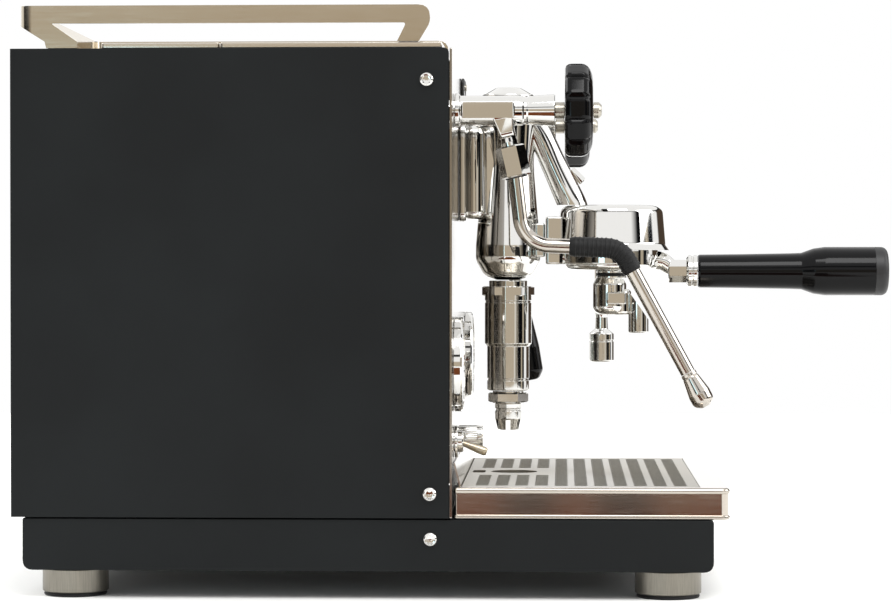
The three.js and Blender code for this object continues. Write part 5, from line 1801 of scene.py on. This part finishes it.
@dataclass
class SteamValve(Valve):
    """The steam side: a knee-bent wand with a ribbed heat guard and a four-hole tip."""

    knee: tuple[float, float] = (-111.0, 231.6)
    end: tuple[float, float] = (-156.2, 148.5)
    guard: float = 6.9

    def corners(self) -> list[tuple[float, float, float]]:
        """Return the wand's corners after the ball."""
        return [(-46, 234.2, 20), (*self.knee, 22), (*self.end, 0)]

    def sleeve(self) -> Shape:
        """Return the heat guard's plain sleeve."""
        line = dense(in_plane(eased([(-77, 232.9, 0), (*self.knee, 22), (-119.5, 216, 0)], 12)), 1.5)
        last = len(line) - 1
        radii = [self.guard - 0.35 - 0.9 * max(0.0, 1 - min(i, last - i) / 1.5) for i in range(len(line))]
        return self.placed(Shape.swept(line, radii, sides=40))

    def ribs(self) -> bpy.types.Object:
        """Return the guard's ribs, one ring every 3 mm along the bend."""
        line = dense(in_plane(eased([(-77, 232.9, 0), (*self.knee, 22), (-119.5, 216, 0)], 12)), 0.75)
        ring = Shape.turned([(5.9, -0.8), (6.9, -0.6, 0.4), (6.9, 0.6, 0.4), (5.9, 0.8), (5.9, -0.8)], 32, 3)
        places = []
        for i in range(5, len(line) - 5, 4):
            way = (line[i + 1] - line[i - 1]).normalized()
            places.append((line[i] + Vector((self.side.value * self.across, 0, 0)), way))
        return Repeats.place(ring, places, RUBBER)

    def tip(self) -> bpy.types.Object:
        """Return the tip, swelling to a round nose with four holes."""
        lean = math.atan2(self.knee[0] - self.end[0], self.knee[1] - self.end[1])
        profile = [
            (0, 0), (5.3, 0, 0.3), (5.5, -2.2, 0.3), (5.1, -2.8, 0.2), (5.6, -3.6, 0.4),
            (7.7, -15.5, 7), (7.5, -22.5, 5), (3.0, -25.4, 2), (0, -25.5),
        ]
        place = [
            turn(-math.degrees(lean), "X"),
            at(0, self.end[0] - 0.3 * math.sin(lean), self.end[1] - 0.3 * math.cos(lean)),
        ]
        nose = self.placed(Shape.turned(profile, 64, 7).moved(*place))
        holes = []
        for k in range(4):
            drill = Shape.turned([(0, 4), (0.55, 4), (0.55, 12), (0, 12)], 16)
            steps = [turn(135, "Y"), turn(45 + 90 * k, "Z"), at(0, 0, -17.5), *place]
            holes.append(self.placed(drill.moved(*steps)))
        return fused([nose], holes)

    def pieces(self) -> list[Piece]:
        """Return the valve's pieces, the guard and the tip."""
        return super().pieces() + [
            Piece("guard_sleeve", self.sleeve(), RUBBER, Slot.RUBBER, "steam_wand", ("steam_grip",)),
            Piece("guard_ribs", self.ribs(), RUBBER, Slot.RUBBER, "steam_wand"),
            Piece("steam_nose", self.tip(), TUBE_STEEL, Slot.CHROME, "steam_wand", ("steam_tip",)),
        ]


@dataclass
class WaterValve(Valve):
    """The water side: a short wand that ends in a straight-sided nozzle."""

    name: str = "water"
    side: Side = Side.RIGHT
    end: tuple[float, float] = (-101.2, 186.0)

    def corners(self) -> list[tuple[float, float, float]]:
        """Return the wand's corners after the ball."""
        return [(-46, 234.2, 20), (-101.2, 232.5, 16), (*self.end, 0)]

    def tip(self) -> Shape:
        """Return the nozzle."""
        profile = [
            (0, 0), (5.2, 0, 0.3), (4.6, -4, 1), (5.0, -12.6, 1), (8.2, -15, 0.6), (9.4, -16.2, 0.8),
            (9.4, -20.6, 0.2), (9.0, -21.0, 0.1), (9.0, -21.8, 0.1), (9.4, -22.2, 0.2),
            (9.4, -37, 1.4), (6.6, -37, 0.5), (6.0, -31), (0, -31),
        ]
        return self.placed(Shape.turned(profile, 72, 4).moved(at(0, self.end[0], self.end[1] - 0.3)))

    def pieces(self) -> list[Piece]:
        """Return the valve's pieces and the nozzle."""
        return super().pieces() + [
            Piece("water_nozzle", self.tip(), CHROME, Slot.CHROME, "water_wand", ("water_tip",))
        ]


@dataclass
class Gauge(SubAssembly):
    """A pressure gauge: polished case, enamelled dial with its scale, needle and glass."""

    name: str = "boiler"
    side: Side = Side.LEFT
    step: int = 1
    x: float = 103.0
    z: float = 154.0
    face: float = 1.6
    zero: float = 135.0
    sweep: float = 270.0
    ticks: int = 41

    def placed(self, *steps: Matrix) -> list[Matrix]:
        """Return the moves that set a shape, drawn along +Z, on the panel."""
        return [*steps, FORWARD, at(self.side.value * self.x, 0, self.z)]

    def scale(self) -> bpy.types.Object:
        """Return the dial's marks, longer at each number."""
        places = []
        centre = Vector((self.side.value * self.x, 0, self.z))
        bar = Shape.block((-0.22, -0.22, 0), (0.22, 0.22, 2.6), 0, 0)
        for k in range(self.ticks):
            a = math.radians(self.zero + 90 - self.sweep * k / (self.ticks - 1))
            way = Vector((math.cos(a), 0, math.sin(a)))
            major = k % ((self.ticks - 1) // 4) == 0
            start = 21.2 if major else 22.8
            places.append((centre + way * start + Vector((0, -self.face - 0.2, 0)), way))
        return Repeats.place(bar, places, INK)

    def numbers(self) -> bpy.types.Object:
        """Return the dial's numbers as thin raised figures."""
        meshes = []
        for k in range(5):
            a = math.radians(self.zero + 90 - self.sweep * k / 4)
            text = bpy.data.curves.new("figure", "FONT")
            text.body = str(k * self.step)
            text.size = 6.2
            text.extrude = 0.06
            text.align_x, text.align_y = "CENTER", "CENTER"
            holder = bpy.data.objects.new("figure", text)
            bpy.context.scene.collection.objects.link(holder)
            bpy.context.view_layer.update()
            graph = bpy.context.evaluated_depsgraph_get()
            mesh = bpy.data.meshes.new_from_object(holder.evaluated_get(graph))
            spot = at(16.6 * math.cos(a), 16.6 * math.sin(a), self.face + 0.28)
            for step in self.placed(spot):
                mesh.transform(step)
            mesh.transform(ROW)
            meshes.append(mesh)
            bpy.data.objects.remove(holder)
            bpy.data.curves.remove(text)
        work = bmesh.new()
        for mesh in meshes:
            work.from_mesh(mesh)
            bpy.data.meshes.remove(mesh)
        whole = bpy.data.meshes.new("figures")
        bmesh.ops.remove_doubles(work, verts=work.verts, dist=1e-7)
        bmesh.ops.recalc_face_normals(work, faces=work.faces)
        work.to_mesh(whole)
        work.free()
        return drafted(whole)

    def needle(self) -> list[Shape]:
        """Return the tapered needle and its hub."""
        arm = Shape.plate([(-1.3, -8.0), (1.3, -8.0), (0.32, 21.5), (-0.32, 21.5)], 0.1, 0.7, 0.0)
        hub = Shape.turned([(0, 0), (3.4, 0, 0.2), (3.4, 0.9, 0.3), (0, 0.9)], 40)
        return [
            part.moved(*self.placed(turn(self.zero, "Z"), at(0, 0, self.face + 0.5))) for part in (arm, hub)
        ]

    def pieces(self) -> list[Piece]:
        """Return every piece of the gauge."""
        n = self.name
        case = Shape.turned(
            [
                (29, 6.0, 0.3), (31, 6.0, 0.6), (32, 4.8, 0.8), (32, 0.3, 0.3), (28.5, 0.3, 0.2),
                (28.5, -24, 1.2), (0.01, -24), (0.01, 1.3), (28.6, 1.3, 0.2), (28.9, 3.0, 0.3),
                (29, 6.0, 0.3),
            ],
            112, 5,
        )
        case = case.moved(*self.placed())
        dial = Shape.turned([(0, 1.35), (28.3, 1.35), (28.3, 1.6, 0.1), (0, 1.6)], 96)
        glass = Shape.turned([(0, 4.6), (27.8, 4.6), (27.8, 5.4, 0.2), (20, 5.55, 10), (0, 5.6)], 96)
        glass = glass.moved(*self.placed())
        return [
            Piece(f"{n}_gauge_bezel", case, CHROME, Slot.CHROME, nodes=(f"{n}_gauge_case",)),
            Piece(f"{n}_gauge_dial", dial.moved(*self.placed()), ENAMEL, Slot.CHROME),
            Piece(f"{n}_gauge_scale", self.scale(), INK, Slot.MATT),
            Piece(f"{n}_gauge_figures", self.numbers(), INK, Slot.MATT),
            Piece(
                f"{n}_gauge_pointer",
                fused(self.needle()),
                INK,
                Slot.GLOSS,
                f"{n}_gauge_needle",
                (f"{n}_gauge_needle",),
            ),
            Piece(f"{n}_gauge_cover", glass, GLASS, Slot.GLASS, nodes=(f"{n}_gauge_glass",)),
        ]


@dataclass
class Controls(SubAssembly):
    """Bat-lever power switch, selector knob, and the temperature controller with its two buttons."""

    switch_x: float = -105.0
    switch_z: float = 102.0
    droop: float = 20.0
    selector_x: float = -62.0
    selector_z: float = 103.0
    controller: tuple[float, float] = (40.0, 345.0)

    def switch(self) -> list[Piece]:
        """Return the threaded bush and the bat lever."""
        bush = Shape.turned(
            [
                (4.6, 6.0, 0.2), (6.4, 6.0, 0.3), (7.2, 5.2, 0.3), (7.2, 2.5), (10.7, 2.4, 0.6),
                (10.7, 0.3, 0.2), (6.5, 0.3), (6.5, -14, 0.6), (0.01, -14), (0.01, -6), (3, -6),
                (4.6, 6.0, 0.2),
            ],
            72, 4,
        )
        bat = Shape.turned(
            [(0, -4), (1.6, -4), (1.6, 3, 2), (2.9, 15, 6), (3.05, 19.4, 1.5), (2.2, 21, 0.8), (0, 21)], 48, 6
        )
        spot = at(self.switch_x, 0, self.switch_z)
        lever = bat.moved(FORWARD, turn(self.droop, "X"), at(0, -2, 0), spot)
        return [
            Piece(
                "switch_bush", bush.moved(FORWARD, spot), CHROME, Slot.CHROME, nodes=("power_switch_bush",)
            ),
            Piece("switch_bat", lever, WARM_NICKEL, Slot.BRUSHED, "power_switch", ("power_switch_toggle",)),
        ]

    def selector(self) -> Shape:
        """Return the selector knob, ringed with fine flutes and marked with one groove."""
        flutes, per = 36, 4
        rings = [[Vector((0, 0, -10))]]
        rings += [self.round(3, h) for h in (-10, 1)]
        for radius, height, dip in (
            (6.8, 1.0, 0.0), (7.5, 1.6, 0.1), (7.5, 13.6, 0.45), (7.5, 14.2, 0.0), (7.5, 17.2, 0.0),
            (6.8, 18.0, 0.0),
        ):
            ring = []
            for k in range(flutes * per):
                a = 2 * math.pi * k / (flutes * per)
                r = radius - dip * (0.5 - 0.5 * math.cos(flutes * a))
                ring.append(Vector((r * math.cos(a), r * math.sin(a), height)))
            rings.append(ring)
        rings.append([Vector((0, 0, 18.0))])
        return Shape.lofted(rings).moved(FORWARD, at(self.selector_x, 0, self.selector_z))

    @staticmethod
    def round(radius: float, height: float) -> list[Vector]:
        """Return a plain ring with as many points as the fluted ones."""
        spokes = [2 * math.pi * k / 144 for k in range(144)]
        return [Vector((radius * math.cos(a), radius * math.sin(a), height)) for a in spokes]

    def pieces(self) -> list[Piece]:
        """Return every control."""
        x, z = self.controller
        made = self.switch()
        mark = Shape.block((-0.5, -0.5, 0), (0.5, 7.0, 3.0), 0, 0).moved(
            at(0, 0, 17.2), FORWARD, at(self.selector_x, 0, self.selector_z)
        )
        knob = fused([self.selector()], [mark])
        made.append(Piece("selector", knob, CHROME, Slot.CHROME, "selector", ("selector_knob",)))
        bezel = softened("controller_bezel", 0.3)
        made.append(Piece("controller_frame", bezel, ABS, Slot.GLOSS, nodes=("controller_bezel",)))
        window = Shape.block((x - 16.8, -1.7, z - 5.0), (x + 5.2, -1.55, z + 5.0), 0, 0)
        made.append(Piece("controller_window", window, DISPLAY, Slot.GLASS))
        for name, dz in (("up", 4.0), ("down", -4.0)):
            button = Shape.turned([(0, 0), (2.5, 0), (2.5, 2.6, 0.5), (0, 2.6)], 40)
            node = f"controller_button_{name}"
            button = button.moved(FORWARD, at(x + 11, -0.2, z + dz))
            made.append(Piece(f"push_button_{name}", button, GRAINED, Slot.BRUSHED, node, (node,)))
        return made


@dataclass
class Inside(SubAssembly):
    """Boiler, pump and water tank, seen through the vents and with the lid off."""

    def pieces(self) -> list[Piece]:
        """Return the closed-in pieces."""
        y = 85.0
        shell = Shape.turned(
            [
                (5, 101), (8, 101, 0.6), (8, 95, 1), (40, 95, 14), (52, 81, 6), (52, -81, 6),
                (40, -95, 14), (0.01, -95), (0.01, -93), (39, -93, 13), (50, -80, 5), (50, 80, 5),
                (39, 93, 13), (5, 93), (5, 101),
            ],
            96, 6,
        ).moved(RIGHTWARD, at(0, y, 215))
        pump = softened("pump", 0.8)
        tank = softened("water_tank", 0.5)
        return [
            Piece("spun_boiler", shell, COPPER, Slot.COPPER, nodes=("boiler",)),
            Piece("vibration_pump", pump, GRAINED, Slot.BRUSHED, nodes=("pump",)),
            Piece("moulded_tank", tank, TANK, Slot.TANK, nodes=("water_tank",)),
        ]


# ---------------------------------------------------------------- studio
@dataclass
class Studio:
    """Plain pale floor, soft light, dark and brown cards for the metal to reflect, and the camera."""

    eye: Vector = field(default_factory=lambda: Vector((-1993.0, -72.7, 219.0)))
    lens: float = 113.57
    yaw: float = 2.38
    pitch: float = 0.75

    def floor(self) -> None:
        """Lay the floor."""
        mesh = bpy.data.meshes.new("studio_floor")
        mesh.from_pydata([(-2.2, -2.2, 0), (2.2, -2.2, 0), (2.2, 2.2, 0), (-2.2, 2.2, 0)], [], [(0, 1, 2, 3)])
        obj = drafted(mesh, "studio_floor")
        made = bpy.data.materials.new("pale_floor")
        made.use_nodes = True
        shader = made.node_tree.nodes["Principled BSDF"]
        shader.inputs["Base Color"].default_value = linear("FCFCFA")
        shader.inputs["Roughness"].default_value = 0.85
        mesh.materials.append(made)

    def card(
        self,
        name: str,
        centre: tuple[float, float, float],
        size: tuple[float, float],
        way: tuple[float, float, float],
        colour: str,
        glow: float,
    ) -> None:
        """Stand a card that the camera doesn't see.

        Args:
            name: Its name.
            centre: Its middle, in millimetres.
            size: Its width and height in millimetres.
            way: The direction it faces.
            colour: Its colour.
            glow: How much light it gives.
        """
        half_w, half_h = size[0] / 2, size[1] / 2
        signs = ((-1, -1), (1, -1), (1, 1), (-1, 1))
        shape = Shape([Vector((half_w * x, half_h * y, 0)) for x, y in signs], [(0, 1, 2, 3)])
        aim = Vector(way).to_track_quat("Z", "Y").to_matrix().to_4x4()
        obj = drafted(shape.moved(aim, at(*centre)).mesh(name), name)
        made = bpy.data.materials.new(name)
        made.use_nodes = True
        tree = made.node_tree
        tree.nodes.clear()
        light = add_node(tree, "ShaderNodeEmission", {"Color": linear(colour), "Strength": glow})
        add_node(tree, "ShaderNodeOutputMaterial", feeds={"Surface": light.outputs[0]})
        obj.data.materials.append(made)
        obj.visible_camera = False
        obj.visible_shadow = False
        obj.visible_diffuse = False

    def lamp(
        self,
        name: str,
        place: tuple[float, float, float],
        target: tuple[float, float, float],
        size: tuple[float, float],
        power: float,
        colour: str = "FFFFFF",
    ) -> None:
        """Hang a soft rectangular lamp.

        Args:
            name: Its name.
            place: Its position in millimetres.
            target: The point it faces, in millimetres.
            size: Its width and height in millimetres.
            power: Its power in watts.
            colour: Its colour.
        """
        data = bpy.data.lights.new(name, "AREA")
        data.shape = "RECTANGLE"
        data.size, data.size_y = size[0] * MM, size[1] * MM
        data.energy = power
        data.color = linear(colour)[:3]
        obj = bpy.data.objects.new(name, data)
        bpy.context.scene.collection.objects.link(obj)
        here, there = ROW @ Vector(place), ROW @ Vector(target)
        obj.location = here
        obj.rotation_mode = "QUATERNION"
        obj.rotation_quaternion = (there - here).to_track_quat("-Z", "Y")

    def world(self) -> None:
        """Set a white surround for the camera, and a room with darker ends for the metal."""
        world = bpy.data.worlds.new("studio_room")
        bpy.context.scene.world = world
        world.use_nodes = True
        tree = world.node_tree
        tree.nodes.clear()
        way = add_node(tree, "ShaderNodeTexCoord").outputs["Generated"]
        split = add_node(tree, "ShaderNodeSeparateXYZ", feeds={"Vector": way})
        round_room = add_node(
            tree, "ShaderNodeMath", {"operation": "ARCTAN2"}, {0: split.outputs["Y"], 1: split.outputs["X"]}
        )
        around = self.spread(tree, round_room.outputs[0], -math.pi, math.pi)
        walls = [
            (-180, "BDB09C"), (-150, "BDB09C"), (-144, "E8E4DC"), (-138, "9E9688"), (-124, "0A0B0D"),
            (-106, "0A0B0D"), (-103, "B8AC98"), (-98, "B8AC98"), (-94, "14181C"), (-84, "14181C"),
            (-81, "FFFFFF"), (-64, "FFFFFF"), (-60, "4A3E34"), (-24, "4A3E34"), (-18, "FFFFFF"),
            (60, "FFFFFF"), (90, "E6E6E4"), (104, "101112"), (146, "141414"), (156, "8A7E6C"),
            (164, "BDB09C"), (180, "BDB09C"),
        ]
        upper = [(angle, "FFFFFF" if abs(angle) > 130 else code) for angle, code in walls]
        low, high = (
            ramp(tree, around, [((angle + 180) / 360, linear(code)) for angle, code in band])
            for band in (walls, upper)
        )
        height = self.spread(tree, split.outputs["Z"], 0.0, 1.0)
        above = ramp(tree, height, [(0.0, 0.0), (0.1, 0.0), (0.14, 1.0)])
        room = add_node(tree, "ShaderNodeMix", {"data_type": "RGBA"}, {0: above, 6: low, 7: high})
        over = ramp(tree, height, [(0.31, 0.0), (0.33, 1.0)])
        ceiling = ramp(tree, height, [(0.4, 0.02), (0.42, 1.0)])
        mixed = add_node(
            tree, "ShaderNodeMix", {"data_type": "RGBA"}, {0: over, 6: room.outputs[2], 7: ceiling}
        )
        seen = add_node(tree, "ShaderNodeBackground", {"Color": (1, 1, 1, 1), "Strength": 1.0})
        lit = add_node(tree, "ShaderNodeBackground", {"Strength": 1.3}, {"Color": mixed.outputs[2]})
        ray = add_node(tree, "ShaderNodeLightPath").outputs["Is Camera Ray"]
        both = add_node(
            tree, "ShaderNodeMixShader", feeds={0: ray, 1: lit.outputs[0], 2: seen.outputs[0]}
        )
        add_node(tree, "ShaderNodeOutputWorld", feeds={"Surface": both.outputs[0]})

    @staticmethod
    def spread(
        tree: bpy.types.NodeTree, value: bpy.types.NodeSocket, low: float, high: float
    ) -> bpy.types.NodeSocket:
        """Return a value mapped from low and high to 0 and 1."""
        made = add_node(tree, "ShaderNodeMapRange", {"From Min": low, "From Max": high}, {"Value": value})
        return made.outputs["Result"]

    def camera(self) -> None:
        """Set the camera."""
        data = bpy.data.cameras.new("view")
        data.lens = self.lens
        data.sensor_width = 36.0
        obj = bpy.data.objects.new("view", data)
        bpy.context.scene.collection.objects.link(obj)
        yaw, pitch = math.radians(self.yaw), math.radians(self.pitch)
        ahead = Vector((math.cos(pitch) * math.cos(yaw), math.cos(pitch) * math.sin(yaw), -math.sin(pitch)))
        obj.location = ROW @ self.eye
        obj.rotation_mode = "QUATERNION"
        obj.rotation_quaternion = ahead.to_track_quat("-Z", "Y")
        data.clip_start, data.clip_end = 0.05, 60.0
        bpy.context.scene.camera = obj

    def build(self) -> None:
        """Set up the whole studio."""
        self.camera()
        self.floor()
        self.world()
        self.lamp("key", (-1300, -500, 1900), (0, -50, 200), (1300, 900), 26.0)
        self.lamp("rear_fill", (500, 1500, 1500), (0, 50, 200), (1400, 900), 18.0)
        self.lamp("front_fill", (-200, -1900, 1000), (0, -50, 200), (1500, 1000), 16.0)
        self.lamp("cool_sheen", (-2050, 640, 290), (-150, 200, 300), (420, 300), 1.3, "A6D4E4")
        self.card("brown_table", (-900, -110, 3), (900, 460), (0, 0, 1), "A8623E", 0.6)
        self.card("dark_item_near", (-890, -42, 6), (520, 46), (0, 0, 1), "1C110B", 0.3)
        self.card("dark_item_far", (-890, -128, 6), (520, 50), (0, 0, 1), "1C110B", 0.3)
        self.card("pale_item", (-860, -178, 8), (200, 22), (0, 0, 1), "C8A98C", 0.5)
        scene = bpy.context.scene
        scene.view_settings.view_transform = "Standard"
        scene.view_settings.look = "None"


def main() -> None:
    """Build the studio and every sub-assembly, then note the sizes."""
    logging.basicConfig(level=logging.INFO, format="%(message)s", stream=sys.stdout)
    Studio().build()
    for part in (
        Casing(),
        Feet(),
        Screws(),
        Top(),
        DripTray(),
        BrewGroup(),
        Portafilter(),
        SteamValve(),
        WaterValve(),
        Gauge(),
        Gauge(name="pump", side=Side.RIGHT, step=4),
        Controls(),
        Inside(),
    ):
        part.build()
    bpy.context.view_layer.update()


if __name__ == "__main__":
    main()
